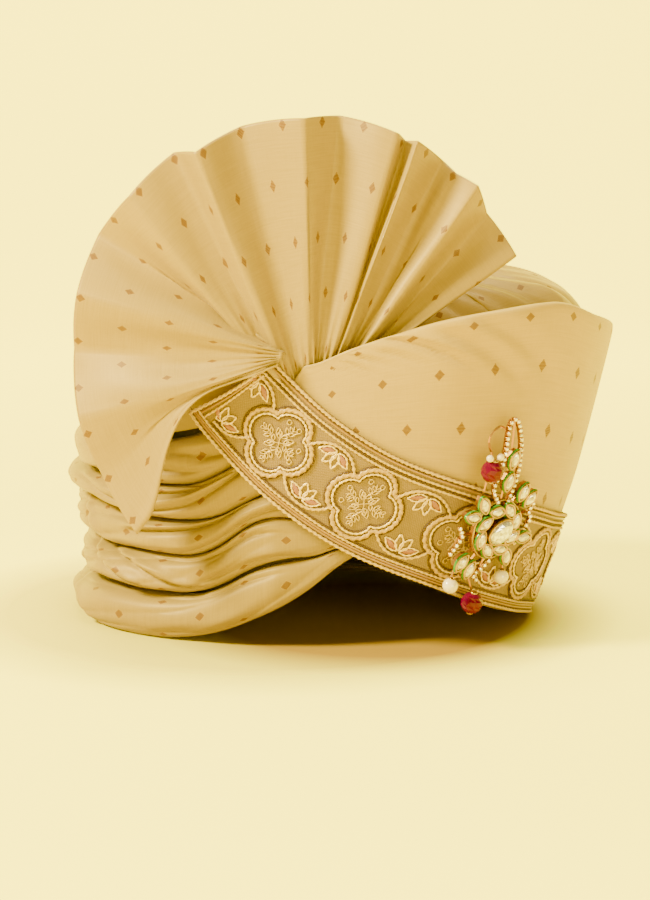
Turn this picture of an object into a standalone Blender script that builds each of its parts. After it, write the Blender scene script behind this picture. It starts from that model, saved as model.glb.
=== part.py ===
"""A groom's tied turban, with its pleated fan, embroidered border and jewelled brooch.

A thin cap fits the head. Five twisted rolls of silk wind round its sides and back, a
smooth panel leans out over the brow with an embroidered border along its lower edge,
gathered silk closes the crown, and a fan of pleats stands at the wearer's right temple.

Metres, +Z up. The front faces -Y, so the wearer's right is -X. Places on the turban are
given by their bearing, in degrees from the front towards the wearer's right, and by
their height over the surface that the turban stands on.
"""

import math
from collections import namedtuple

import bmesh
import bpy
from mathutils import Matrix, Vector

# Cap
OPENING_LENGTH = 0.196
OPENING_WIDTH = 0.164
CAP_HEIGHT = 0.1585
CAP_SHOULDER = 0.062
CAP_WALL = 0.0025
CAP_ROUNDNESS = 2.3
RIM_LIFT = 0.003

# Rolls
ROLL_STACK = 0.095
ROLL_THICKNESS = 0.032
ROLL_TWIST = 150.0
ROLL_CREASE = 0.18
ROLL_SWELL = 0.11
SEAM_WAVE = 0.0028

# Front panel and border
BROW_STAND_OFF = 0.011
PANEL_PEAK = 0.161
PANEL_WALL = 0.0022
PANEL_FOLD = 0.005
FOLD_EASE = 24.0
LEAN_START = 0.38
LEAN_EASE = 0.62
LEAN_RUN = 1.0
HEM_HEIGHT = 0.014
BORDER_WIDTH = 0.049
BORDER_RISE = 0.100
BORDER_WALL = 0.0016

# Crown
CROWN_TOP = CAP_HEIGHT + 0.0135
CROWN_WALL = 0.0028
CROWN_GATHERS = 15
GATHER_DEPTH = 0.0030
CROWN_RIM_DROP = 0.020
FRONT_FULLNESS = 5.0
BACK_FULLNESS = 3.0

# Fan
FAN_BEARING = 45.0
KNOT_TURN = 3.0
FAN_RADIUS = 0.1105
FAN_WALL = 0.0018
PLEAT_DEPTH = 0.0085
FAN_BEND = 0.26
FAN_LEAN = 0.62
FAN_TUCK = 0.006
CURL_START = 0.28
CURL_RUN = 0.65

# Brooch
BROOCH_BEARING = 6.0
BROOCH_HEIGHT = 0.0585
BROOCH_STAND = 0.0030
PLATE_RADIUS = 0.0148
PLATE_THICKNESS = 0.0014
CUP_DEPTH = 0.0018
WIRE = 0.0011
CENTRE_STONE_LENGTH = 0.0140
CENTRE_STONE_WIDTH = 0.0105
PETAL_LENGTH = 0.0082
PETAL_WIDTH = 0.0045
STONE_DEPTH = 0.0016
INNER_PETALS = 8
INNER_RING = 0.0104
OUTER_REACH = 0.0200
PLUME_HEIGHT = 2.75 * OUTER_REACH
PLUME_WIDTH = 0.525 * OUTER_REACH
RUBY = 0.0106
PEARL = 0.0072
SEED_PEARL = 0.0034
CRYSTAL = 0.0025

# Clearances between neighbours
SEAT_GAP = 0.0005
LAYER_GAP = 0.0006
ROLL_GAP = 0.0009
STONE_GAP = 0.0003

# Height of the border's lower edge, as a share of BORDER_RISE
Edge = namedtuple("Edge", "bearing rise")
BORDER_EDGE = (
    Edge(-120, 0.0),
    Edge(-70, 0.0),
    Edge(-42, 0.0),
    Edge(-15, 0.085),
    Edge(0, 0.17),
    Edge(20, 0.32),
    Edge(40, 0.49),
    Edge(58, 0.72),
    Edge(74, 1.01),
    Edge(90, 1.33),
)

# The panel at a bearing: its top as a share of PANEL_PEAK, its lean as a share of the
# full lean, its stand-off as a share of BROW_STAND_OFF, and how far its hem is filled.
Panel = namedtuple("Panel", "bearing top lean stand_off hem")
PANEL = (
    Panel(-124, 0.74, 0.25, 1.95, 0.0),
    Panel(-100, 0.79, 0.45, 1.65, 0.0),
    Panel(-84, 0.83, 0.62, 1.30, 0.0),
    Panel(-74, 0.85, 0.75, 1.15, 1.0),
    Panel(-45, 0.885, 1.00, 1.00, 1.0),
    Panel(-15, 0.950, 1.00, 1.00, 1.0),
    Panel(0, 1.00, 0.95, 1.00, 1.0),
    Panel(17, 0.975, 0.80, 1.08, 1.0),
    Panel(30, 0.920, 0.55, 1.20, 1.0),
    Panel(38, 0.880, 0.42, 1.28, 0.0),
    Panel(46, 0.835, 0.30, 1.42, 0.0),
    Panel(60, 0.80, 0.15, 1.75, 0.0),
    Panel(74, 0.76, 0.05, 2.15, 0.0),
    Panel(92, 0.70, 0.0, 2.55, 0.0),
)

# One turn of the panel's cloth: the height as a share of the face, and the depth as
# shares of the wall, of the filled hem and of the top fold.
Turn = namedtuple("Turn", "height wall hem fold")
PANEL_SECTION = (
    Turn(0.00, 0.0, 0.0, 0.0),
    Turn(0.14, 0.0, 0.0, 0.0),
    Turn(0.32, 0.0, 0.0, 0.0),
    Turn(0.50, 0.0, 0.0, 0.0),
    Turn(0.68, 0.0, 0.0, 0.0),
    Turn(0.86, 0.0, 0.0, 0.0),
    Turn(0.965, 0.0, 0.0, 0.08),
    Turn(1.00, 0.0, 0.0, 0.45),
    Turn(0.965, 0.9, 0.0, 1.0),
    Turn(0.86, 1.0, 0.0, 0.0),
    Turn(0.68, 1.0, 0.0, 0.0),
    Turn(0.50, 1.0, 0.0, 0.0),
    Turn(0.32, 1.0, 0.0, 0.0),
    Turn(0.14, 1.0, 0.0, 0.0),
    Turn(0.09, 1.0, 1.0, 0.0),
    Turn(0.00, 1.0, 1.0, 0.0),
)
PANEL_FOOT_BEARINGS = (80.0, -90.0)
PANEL_HEAD_BEARINGS = (48.5, -117.0)
# The border's end under the fan: the bearing of its lower and its upper corner
BORDER_END_BEARINGS = (78.0, 73.0)

# Seams between the rolls, as shares of ROLL_STACK, and the rolls' thickness
Seam = namedtuple("Seam", "bearing floor first second third fourth top thickness")
SEAMS = (
    Seam(34, 0.50, 0.56, 0.66, 0.77, 0.90, 1.04, 0.26),
    Seam(42, 0.385, 0.465, 0.605, 0.76, 0.92, 1.08, 0.30),
    Seam(48, 0.285, 0.455, 0.62, 0.79, 0.95, 1.10, 0.34),
    Seam(58, 0.19, 0.44, 0.675, 0.79, 0.98, 1.12, 0.42),
    Seam(68, 0.10, 0.35, 0.56, 0.68, 0.91, 1.11, 0.51),
    Seam(80, 0.03, 0.24, 0.42, 0.60, 0.78, 1.04, 0.62),
    Seam(95, 0.0, 0.228, 0.43, 0.60, 0.77, 0.98, 0.88),
    Seam(120, 0.0, 0.22, 0.43, 0.62, 0.80, 0.98, 1.0),
    Seam(150, 0.0, 0.24, 0.45, 0.63, 0.81, 0.99, 1.0),
    Seam(180, 0.0, 0.23, 0.44, 0.63, 0.82, 1.0, 1.0),
    Seam(215, 0.0, 0.22, 0.44, 0.63, 0.82, 1.0, 0.97),
    Seam(232, 0.0, 0.22, 0.43, 0.62, 0.81, 0.99, 0.72),
    Seam(244, 0.0, 0.22, 0.43, 0.62, 0.81, 0.99, 0.42),
    Seam(262, 0.02, 0.23, 0.43, 0.61, 0.79, 0.95, 0.20),
)
SEAM_NAMES = ("floor", "first", "second", "third", "fourth", "top")
ROLL_START = 36.0
ROLL_END = 262.0

# Folds of the fan: the angle up from the right seen from outside, the depth as a share
# of PLEAT_DEPTH, the reach as a share of FAN_RADIUS, and the degrees that it curls by:
# it leaves the knot above its own angle and comes round to it on the way to the rim
Fold = namedtuple("Fold", "angle depth reach curl")
FOLDS = (
    Fold(26.8, 0.5, 0.960, 0),
    Fold(39.3, -0.7, 0.955, 0),
    Fold(46.0, 0.9, 1.000, 0),
    Fold(51.7, -0.1, 0.980, 0),
    Fold(55.9, -0.8, 0.990, 0),
    Fold(63.6, 1.0, 1.005, 0),
    Fold(66.0, -0.2, 0.985, 0),
    Fold(68.2, 0.8, 1.000, 0),
    Fold(82.4, -0.8, 1.010, 0),
    Fold(90.5, 0.9, 0.990, 0),
    Fold(105.5, -0.9, 0.995, 0),
    Fold(117.6, 1.0, 0.965, 0),
    Fold(122.4, -0.5, 1.010, 0),
    Fold(136.6, 0.8, 0.990, 0),
    Fold(149.0, -1.0, 1.005, 0),
    Fold(163.3, 0.8, 0.980, 0),
    Fold(176.9, -0.8, 0.965, 0),
    Fold(193.9, 0.6, 0.965, 0),
    Fold(209.1, -0.1, 0.965, 12),
    Fold(225.0, 0.3, 0.985, 25),
)
# The fan's root at an angle: across and up as shares of FAN_RADIUS, and how far it has
# come round from behind the panel to the front of the border
Root = namedtuple("Root", "angle across rise front")
ROOTS = (
    Root(26, 0.19, -0.55, 0.0),
    Root(90, 0.03, -0.60, 0.0),
    Root(136, -0.07, -0.05, 0.0),
    Root(150, -0.085, 0.95, 0.15),
    Root(165, -0.095, 1.05, 0.70),
    Root(180, -0.10, 0.75, 1.0),
    Root(226, -0.115, 0.25, 1.0),
)

# Outer petals of the brooch: the angle and reach of each, and the way that it points
Petal = namedtuple("Petal", "angle reach turn")
OUTER_PETALS = (
    Petal(60, 1.05, 68),
    Petal(42, 1.07, 50),
    Petal(132, 0.95, 118),
    Petal(154, 1.00, 170),
    Petal(-18, 0.90, 5),
    Petal(-58, 0.84, -78),
    Petal(216, 1.17, 235),
    Petal(234, 1.12, 246),
)
PLUME_STONES = (0.445, 0.645)
# The plume's outline: across as a share of PLUME_WIDTH, up as a share of PLUME_HEIGHT
Outline = namedtuple("Outline", "across up")
PLUME = (
    Outline(-0.30, 0.255),
    Outline(-0.72, 0.38),
    Outline(-0.55, 0.55),
    Outline(-0.52, 0.70),
    Outline(-0.62, 0.86),
    Outline(-0.60, 0.97),
    Outline(-0.38, 1.00),
    Outline(-0.12, 0.955),
    Outline(0.26, 0.80),
    Outline(0.46, 0.62),
    Outline(0.50, 0.45),
    Outline(0.30, 0.255),
)
HOOK = (
    Outline(-0.62, 0.90),
    Outline(-1.10, 0.945),
    Outline(-1.52, 0.88),
    Outline(-1.52, 0.79),
    Outline(-1.25, 0.715),
)
# Clusters of crystals: across and up as shares of OUTER_REACH
LEFT_CRYSTALS = (
    Outline(-1.17, 0.16),
    Outline(-1.05, -0.06),
    Outline(-1.18, -0.28),
    Outline(-1.30, -0.46),
)
RIGHT_CRYSTALS = (
    Outline(1.00, 0.54),
    Outline(0.92, 0.34),
    Outline(1.02, 0.16),
    Outline(0.93, 0.00),
)
LOWER_CRYSTALS = (
    Outline(-0.02, -0.80),
    Outline(-0.22, -0.98),
    Outline(-0.42, -1.10),
    Outline(-0.30, -1.24),
)
# Beads that hang from the brooch: across and up as shares of OUTER_REACH
RUBY_TOP = Outline(-0.645, 1.56)
RUBY_LOW = Outline(-0.33, -1.79)
PEARL_LEFT = Outline(-1.08, -1.28)
PEARL_RIGHT = Outline(0.50, -1.27)

CREAM_SILK = (0.76, 0.60, 0.37)
GOLD_THREAD = (0.66, 0.50, 0.30)
GOLD = (0.85, 0.52, 0.22)
CRYSTAL_WHITE = (0.90, 0.86, 0.76)
RUBY_RED = (0.45, 0.02, 0.10)
PEARL_WHITE = (0.88, 0.82, 0.68)


def material(name, colour, roughness, metallic=0.0):
    made = bpy.data.materials.new(name)
    made.use_nodes = True
    shader = made.node_tree.nodes["Principled BSDF"]
    shader.inputs["Base Color"].default_value = (*colour, 1.0)
    shader.inputs["Roughness"].default_value = roughness
    shader.inputs["Metallic"].default_value = metallic
    made.diffuse_color = (*colour, 1.0)
    return made


def along(rows, column, at):
    """The column's value at a place along the first column, on a smooth curve."""
    places = [row[0] for row in rows]
    values = [getattr(row, column) for row in rows]
    if at <= places[0]:
        return values[0]
    if at >= places[-1]:
        return values[-1]
    k = next(i for i in range(len(places) - 1) if places[i] <= at <= places[i + 1])

    def slope(i):
        if i in (0, len(places) - 1):
            return 0.0
        before = (values[i] - values[i - 1]) / (places[i] - places[i - 1])
        after = (values[i + 1] - values[i]) / (places[i + 1] - places[i])
        if before * after <= 0:
            return 0.0
        return 2 * before * after / (before + after)

    span = places[k + 1] - places[k]
    u = (at - places[k]) / span
    return (
        (2 * u**3 - 3 * u**2 + 1) * values[k]
        + (u**3 - 2 * u**2 + u) * span * slope(k)
        + (3 * u**2 - 2 * u**3) * values[k + 1]
        + (u**3 - u**2) * span * slope(k + 1)
    )


def between(start, end, share):
    return start + (end - start) * share


def smooth(share):
    share = min(1.0, max(0.0, share))
    return share * share * (3 - 2 * share)


def polar(bearing, radius, height):
    """A point by its bearing from the front, its distance from the head's axis and its height."""
    turn = math.radians(bearing)
    return Vector((-radius * math.sin(turn), -radius * math.cos(turn), height))


def oval(bearing, half_length, half_width):
    turn = math.radians(bearing)
    return (
        half_length
        * half_width
        / math.hypot(half_width * math.cos(turn), half_length * math.sin(turn))
    )


def power(value, exponent):
    return math.copysign(abs(value) ** exponent, value)


def cap_side(bearing):
    """The cap's outer radius below its shoulder."""
    return oval(bearing, OPENING_LENGTH / 2 + CAP_WALL, OPENING_WIDTH / 2 + CAP_WALL)


def cap_radius(bearing, height):
    top = CAP_HEIGHT + CAP_WALL
    rise = max(0.0, height - CAP_SHOULDER) / (top - CAP_SHOULDER)
    if rise >= 1:
        return 0.0
    return cap_side(bearing) * (1 - rise**CAP_ROUNDNESS) ** (1 / CAP_ROUNDNESS)


def border_foot(bearing):
    """Height of the border's lower edge, which is the panel's too."""
    return BORDER_RISE * along(BORDER_EDGE, "rise", bearing)


def skin_radius(bearing, height):
    """The outer face of the border, and of the panel but for the border's thickness."""
    up = max(0.0, height - border_foot(bearing))
    lean = LEAN_START * up - LEAN_EASE * up * up
    stand_off = BROW_STAND_OFF * along(PANEL, "stand_off", bearing)
    return cap_side(bearing) + stand_off + LEAN_RUN * lean * along(PANEL, "lean", bearing)


def panel_radius(bearing, height):
    return skin_radius(bearing, height) - BORDER_WALL - LAYER_GAP


def fold_depth(bearing):
    """How far the panel's top edge is folded in: it thins out towards the knot."""
    return PANEL_FOLD * smooth((FAN_BEARING - bearing) / FOLD_EASE)


def panel_top(bearing):
    return PANEL_PEAK * along(PANEL, "top", bearing)


def seam(name, bearing):
    """Height of a seam between two rolls: behind, where the rolls are full, it waves."""
    order = SEAM_NAMES.index(name)
    behind = smooth((bearing - 92) / 30) * smooth((240 - bearing) / 30)
    wave = SEAM_WAVE * behind * math.sin(math.radians(3.4 * bearing + 137 * order))
    return ROLL_STACK * along(SEAMS, name, bearing) + wave * (order > 0)


def loft(name, sides, steps, place, finish, flat=False):
    """A closed solid: a cylinder whose every vertex is moved to place(side, share along).

    The ends of a flat one are stitched straight across from its front to its back.
    """
    shape = bmesh.new()
    bmesh.ops.create_cone(
        shape, cap_ends=True, segments=sides, radius1=1, radius2=1, depth=1
    )
    uprights = [e for e in shape.edges if abs(e.verts[0].co.z - e.verts[1].co.z) > 0.5]
    bmesh.ops.subdivide_edges(shape, edges=uprights, cuts=steps - 1, use_grid_fill=True)
    rims = ({}, {})
    for vertex in shape.verts:
        turn = math.atan2(vertex.co.y, vertex.co.x) / math.tau
        side = round(turn * sides) % sides
        share = vertex.co.z + 0.5
        if abs(vertex.co.z) > 0.499:
            rims[round(share)][side] = vertex
        vertex.co = place(side, share)
    if flat:
        for rim in rims:
            for side in range(1, sides // 2 - 1):
                bmesh.ops.connect_verts(shape, verts=[rim[side], rim[sides - 1 - side]])
    return finished(name, shape, finish)


def dome(name, meridians, rings, place, finish):
    """A closed shell: a sphere whose upper half becomes the outside and lower half the inside."""
    shape = bmesh.new()
    bmesh.ops.create_uvsphere(shape, u_segments=meridians, v_segments=rings, radius=1)
    for vertex in shape.verts:
        bearing = math.degrees(math.atan2(-vertex.co.x, -vertex.co.y))
        polar_angle = math.acos(max(-1.0, min(1.0, vertex.co.z)))
        outside = polar_angle <= math.pi / 2 + 1e-6
        reach = polar_angle if outside else math.pi - polar_angle
        vertex.co = place(bearing, reach / (math.pi / 2), outside)
    return finished(name, shape, finish)


def finished(name, shape, finish):
    """The object of a closed mesh, faces outwards, corners of its caps filled with triangles."""
    bmesh.ops.recalc_face_normals(shape, faces=shape.faces)
    wide = [face for face in shape.faces if len(face.verts) > 4]
    bmesh.ops.triangulate(shape, faces=wide)
    if shape.calc_volume(signed=True) < 0:
        bmesh.ops.reverse_faces(shape, faces=shape.faces)
    mesh = bpy.data.meshes.new(name)
    shape.to_mesh(mesh)
    shape.free()
    mesh.shade_smooth()
    mesh.set_sharp_from_angle(angle=math.radians(40))
    mesh.materials.append(finish)
    piece = bpy.data.objects.new(name, mesh)
    PARTS.objects.link(piece)
    return piece


def rim_height(bearing):
    """The cap's rim, a little above the edge of the cloth that covers it."""
    if ROLL_START + 8 < bearing % 360 < ROLL_END - 8:
        edge = seam("floor", bearing % 360)
    else:
        edge = border_foot((bearing + 180) % 360 - 180)
    return edge + RIM_LIFT


def make_cap(finish):
    def place(bearing, reach, outside):
        inset = 0.0 if outside else CAP_WALL
        top = CAP_HEIGHT + CAP_WALL - inset
        shoulder_at = 0.62
        side = cap_side(bearing) - inset
        if reach < shoulder_at:
            turn = reach / shoulder_at * math.pi / 2
            radius = side * math.sin(turn) ** (2 / CAP_ROUNDNESS)
            height = between(
                CAP_SHOULDER, top, max(0.0, math.cos(turn)) ** (2 / CAP_ROUNDNESS)
            )
        else:
            radius = side
            down = (reach - shoulder_at) / (1 - shoulder_at)
            height = between(CAP_SHOULDER, rim_height(bearing), down)
        if reach > 0.999:
            radius = side - (CAP_WALL / 2 if outside else 0)
        return polar(bearing, radius, height)

    return dome("cap", 28, 14, place, finish)


def make_roll(number, finish):
    """One roll: a twisted bolster between two seams, flat where it meets the floor."""
    sides = 12
    steps = 26
    low_name = SEAM_NAMES[number - 1]
    high_name = SEAM_NAMES[number]
    creases = (0, 4)
    start_turn = 55.0 * number

    def place(side, share):
        bearing = between(ROLL_START, ROLL_END, share)
        low = seam(low_name, bearing) + ROLL_GAP / 2 * (number > 1)
        high = seam(high_name, bearing) - ROLL_GAP / 2
        end = min(1.0, 0.45 + 6.0 * min(share, 1 - share))
        thickness = ROLL_THICKNESS * along(SEAMS, "thickness", bearing) * end
        full = smooth((bearing - 88) / 20) * smooth((240 - bearing) / 20)
        thickness *= 1 + ROLL_SWELL * full * math.sin(math.radians(3.1 * bearing + 100 * number))
        turn = math.radians(360 * side / sides + start_turn + ROLL_TWIST * share)
        outwards = power(math.cos(turn), 0.80 if math.cos(turn) > 0 else 0.5)
        upwards = power(math.sin(turn), 0.80)
        if side in creases:
            outwards *= 1 - ROLL_CREASE * (math.cos(turn) > 0)
            upwards *= 1 - 0.3 * ROLL_CREASE
        middle = (low + high) / 2
        height = middle + (high - low) / 2 * upwards
        if number == 1:
            height = max(height - 0.05 * (high - low), seam("floor", bearing))
        inner = cap_side(bearing) + SEAT_GAP
        if height > CAP_SHOULDER and outwards < 0:
            inner = cap_radius(bearing, min(height, high)) + SEAT_GAP
            inner = between(cap_side(bearing) + SEAT_GAP, inner, -outwards)
        radius = inner + thickness / 2 * (1 + outwards)
        return polar(bearing, radius, height)

    return loft(f"roll_{number}", sides, steps, place, finish)


def make_panel(finish):
    steps = 28

    def place(side, share):
        turn = PANEL_SECTION[side]
        foot_bearing = between(*PANEL_FOOT_BEARINGS, share)
        head_bearing = between(*PANEL_HEAD_BEARINGS, share)
        bearing = between(foot_bearing, head_bearing, turn.height)
        foot = border_foot(bearing)
        height = between(foot, panel_top(bearing), turn.height)
        stand_off = BROW_STAND_OFF * along(PANEL, "stand_off", bearing)
        filled = stand_off - BORDER_WALL - LAYER_GAP - PANEL_WALL - SEAT_GAP
        hem = max(0.0, filled) * along(PANEL, "hem", bearing)
        depth = PANEL_WALL * turn.wall + hem * turn.hem + fold_depth(bearing) * turn.fold
        if turn.hem:
            height = min(height, foot + HEM_HEIGHT)
            radius = panel_radius(bearing, foot) - depth
        else:
            radius = panel_radius(bearing, height) - depth
        return polar(bearing, radius, height)

    return loft("front_panel", len(PANEL_SECTION), steps, place, finish, flat=True)


def border_slope(bearing):
    """How steeply the border climbs, as rise over run along the skin."""
    step = 1.0
    run = math.radians(2 * step) * skin_radius(bearing, border_foot(bearing))
    return (border_foot(bearing + step) - border_foot(bearing - step)) / run


def border_point(bearing, across, depth):
    """A point on the border: across is 0 at the lower edge and BORDER_WIDTH at the upper."""
    climb = math.atan(border_slope(bearing))
    foot = border_foot(bearing)
    height = foot + across * math.cos(climb)
    shift = across * math.sin(climb) / skin_radius(bearing, foot)
    place = bearing - math.degrees(shift)
    return polar(place, skin_radius(place, height) - depth, height)


def fan_back(bearing):
    """The distance from the head's axis to the rearmost that the fan's pleats reach."""
    _, behind, _ = knot()
    flat = behind - PLEAT_DEPTH - FAN_WALL - LAYER_GAP
    turn = math.radians(bearing - FAN_BEARING)
    if math.cos(turn) < 0.3:
        return 2 * flat
    curve = math.sin(turn) ** 2 / (2 * FAN_BEND)
    if curve < 1e-6:
        return flat
    return (math.sqrt(math.cos(turn) ** 2 + 4 * curve * flat) - math.cos(turn)) / (2 * curve)


def knot():
    """Where the fan springs: its bearing, its distance from the head's axis and its height."""
    bearing = FAN_BEARING + KNOT_TURN
    height = panel_top(bearing)
    inner_face = panel_radius(bearing, height - FAN_TUCK) - fold_depth(bearing) - PANEL_WALL
    behind = inner_face - LAYER_GAP
    return bearing, behind, height


def make_border(finish):
    rows = 5
    sides = 2 * rows

    def place(side, share):
        outer = side < rows
        row = side if outer else sides - 1 - side
        across = BORDER_WIDTH * row / (rows - 1)
        under_fan = between(*BORDER_END_BEARINGS, row / (rows - 1))
        bearing = between(under_fan, PANEL_FOOT_BEARINGS[1] + 0.5, share)
        return border_point(bearing, across, 0.0 if outer else BORDER_WALL)

    return loft("border_band", sides, 30, place, finish, flat=True)


def crown_rim(bearing):
    """The crown's edge, inside the panel in front and on the top roll behind, and its fullness."""
    signed = (bearing + 180) % 360 - 180
    panel_height = panel_top(signed) - CROWN_RIM_DROP
    inside = panel_radius(signed, panel_height) - PANEL_WALL - LAYER_GAP - SEAT_GAP
    inside = min(inside, fan_back(signed))
    whole = bearing % 360
    roll_height = seam("top", whole) + SEAT_GAP + CROWN_WALL / 2 + 0.001
    thickness = ROLL_THICKNESS * along(SEAMS, "thickness", whole)
    outside = cap_side(bearing) + 0.80 * thickness
    behind = smooth((signed - 62) / 26) if signed > 0 else smooth((-signed - 92) / 24)
    radius = min(between(inside, outside, behind), fan_back(signed))
    fullness = between(FRONT_FULLNESS, BACK_FULLNESS, behind)
    return radius, between(panel_height, roll_height, behind), fullness


def make_crown(finish):
    """Gathered silk: a shell whose folds run from behind the fan's root to the edge."""
    focus = polar(FAN_BEARING, 0.045, 0)

    def place(bearing, reach, outside):
        radius = crown_rim(bearing)[0]
        flat = focus.lerp(polar(bearing, radius, 0), reach)
        own_bearing = math.degrees(math.atan2(-flat.x, -flat.y))
        own_rim, rim_at, fullness = crown_rim(own_bearing)
        share = min(1.0, flat.length / own_rim)
        rise = math.sqrt(max(0.0, 1 - share**fullness))
        height = between(rim_at, CROWN_TOP, rise)
        fold = math.cos(math.radians(bearing) * CROWN_GATHERS)
        height += GATHER_DEPTH * (fold - 1) / 2 * smooth(reach * 1.6) * smooth((1 - reach) * 5)
        if not outside:
            height -= CROWN_WALL
            flat = flat * (1 - CROWN_WALL / 2 * share / own_rim)
        if reach > 0.999:
            height -= CROWN_WALL / 2
        return Vector((flat.x, flat.y, height))

    return dome("crown", CROWN_GATHERS * 3, 12, place, finish)


def make_fan(finish):
    """Pleats spread from the knot: one sheet, folded along lines from its root to its rim."""
    rows = 6
    front_step = PANEL_WALL + BORDER_WALL + FAN_WALL + 4 * LAYER_GAP
    lines = []
    for first, second in zip(FOLDS, FOLDS[1:]):
        middle = Fold(*(between(a, b, 0.5) for a, b in zip(first, second)))
        lines += [first, middle]
    lines.append(FOLDS[-1])
    right = Vector((math.cos(math.radians(FAN_BEARING)), -math.sin(math.radians(FAN_BEARING)), 0))
    out = polar(FAN_BEARING, 1, 0)
    knot_bearing, behind, knot_height = knot()
    knot_across = -behind * math.sin(math.radians(knot_bearing - FAN_BEARING))

    shape = bmesh.new()
    bmesh.ops.create_grid(shape, x_segments=len(lines) - 1, y_segments=rows, size=1)
    for vertex in shape.verts:
        line = lines[round((vertex.co.x + 1) / 2 * (len(lines) - 1))]
        share = (vertex.co.y + 1) / 2
        curl = line.curl * (1 - smooth((share - CURL_START) / CURL_RUN))
        turn = math.radians(line.angle - curl)
        root_across = knot_across + FAN_RADIUS * along(ROOTS, "across", line.angle)
        root_height = knot_height + FAN_TUCK * along(ROOTS, "rise", line.angle)
        rim_across = knot_across + FAN_RADIUS * line.reach * math.cos(turn)
        rim_height_here = knot_height + FAN_RADIUS * line.reach * math.sin(turn)
        across = between(root_across, rim_across, share)
        height = between(root_height, rim_height_here, share)
        forward = behind + front_step * along(ROOTS, "front", line.angle)
        forward += PLEAT_DEPTH * line.depth * share**1.15
        forward -= (across - knot_across) ** 2 / (2 * FAN_BEND)
        forward -= max(0.0, height - knot_height) ** 2 / (2 * FAN_LEAN)
        vertex.co = right * across + out * forward + Vector((0, 0, height))
    sheet = bmesh.ops.extrude_face_region(shape, geom=shape.faces[:])
    moved = [v for v in sheet["geom"] if isinstance(v, bmesh.types.BMVert)]
    bmesh.ops.translate(shape, verts=moved, vec=-out * FAN_WALL)
    return finished("fan", shape, finish)


def brooch_frame():
    """The brooch's own axes: across, up along the leaning panel, and out of it."""
    step = 0.004
    low = polar(BROOCH_BEARING, skin_radius(BROOCH_BEARING, BROOCH_HEIGHT - step), BROOCH_HEIGHT - step)
    high = polar(BROOCH_BEARING, skin_radius(BROOCH_BEARING, BROOCH_HEIGHT + step), BROOCH_HEIGHT + step)
    up = (high - low).normalized()
    turn = math.radians(BROOCH_BEARING)
    across = Vector((math.cos(turn), -math.sin(turn), 0))
    out = across.cross(up)
    centre = (low + high) / 2 + out * BROOCH_STAND
    frame = Matrix((across, up, out)).transposed().to_4x4()
    frame.translation = centre
    return frame


def solid_cone(sides, foot, head, depth):
    """A frustum on the plate: foot and head are (length, width) pairs, both pointed ovals."""
    shape = bmesh.new()
    bmesh.ops.create_cone(shape, cap_ends=True, segments=sides, radius1=1, radius2=1, depth=1)
    for vertex in shape.verts:
        length, width = foot if vertex.co.z < 0 else head
        vertex.co = Vector((vertex.co.x * length / 2, vertex.co.y * width / 2, (vertex.co.z + 0.5) * depth))
    return shape


def marquise(shape):
    """Draws an oval's ends out to points, as on a marquise-cut stone."""
    for vertex in shape.verts:
        reach = math.hypot(vertex.co.x / (PETAL_LENGTH / 2), vertex.co.y / (PETAL_WIDTH / 2))
        if reach > 1e-6:
            along_share = abs(vertex.co.x) / (PETAL_LENGTH / 2) / reach
            vertex.co.y *= 1 - 0.35 * along_share**2
    return shape


def put(name, shape, frame, across, up, out, turn, finish):
    """Places a small shape on the brooch at across, up and out, turned about its own axis."""
    place = frame @ Matrix.Translation((across, up, out)) @ Matrix.Rotation(math.radians(turn), 4, "Z")
    bmesh.ops.transform(shape, matrix=place, verts=shape.verts)
    return finished(name, shape, finish)


def petal_places():
    """Every petal-shaped stone: its name, its place on the brooch and the way it points."""
    places = []
    for k in range(INNER_PETALS):
        angle = 360 * k / INNER_PETALS + 20
        turn = math.radians(angle)
        places.append(
            (f"inner_petal_{k + 1}", INNER_RING * math.cos(turn), INNER_RING * math.sin(turn), angle + 62)
        )
    for k, petal in enumerate(OUTER_PETALS):
        turn = math.radians(petal.angle)
        reach = OUTER_REACH * petal.reach
        places.append(
            (f"outer_petal_{k + 1}", reach * math.cos(turn), reach * math.sin(turn), petal.turn)
        )
    for k, share in enumerate(PLUME_STONES):
        places.append((f"plume_stone_{k + 1}", -0.05 * PLUME_WIDTH, PLUME_HEIGHT * share, 78))
    return places


def wire(name, points, thickness, frame, finish, sides=0):
    """A round wire through points given on the brooch, as a mesh with closed ends."""
    path = bpy.data.curves.new(name, "CURVE")
    path.dimensions = "3D"
    path.bevel_depth = thickness / 2
    path.bevel_resolution = sides
    path.use_fill_caps = True
    line = path.splines.new("POLY")
    line.points.add(len(points) - 1)
    for point, target in zip(line.points, points):
        point.co = (*(frame @ Vector(target)), 1)
    holder = bpy.data.objects.new(name, path)
    PARTS.objects.link(holder)
    graph = bpy.context.evaluated_depsgraph_get()
    mesh = bpy.data.meshes.new_from_object(holder.evaluated_get(graph))
    shape = bmesh.new()
    shape.from_mesh(mesh)
    bmesh.ops.remove_doubles(shape, verts=shape.verts, dist=1e-6)
    bpy.data.objects.remove(holder)
    bpy.data.meshes.remove(mesh)
    return finished(name, shape, finish)


def rounded(points, count):
    """More points on a smooth line through a few."""
    found = []
    for k in range(count):
        at = k / (count - 1) * (len(points) - 1)
        i = min(int(at), len(points) - 2)
        u = at - i
        p = [points[max(0, min(len(points) - 1, i + d))] for d in (-1, 0, 1, 2)]
        found.append(
            0.5
            * (
                2 * p[1]
                + (p[2] - p[0]) * u
                + (2 * p[0] - 5 * p[1] + 4 * p[2] - p[3]) * u**2
                + (3 * p[1] - p[0] - 3 * p[2] + p[3]) * u**3
            )
        )
    return found


def spots(outline, width, height, out):
    return [Vector((spot.across * width, spot.up * height, out)) for spot in outline]


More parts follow.
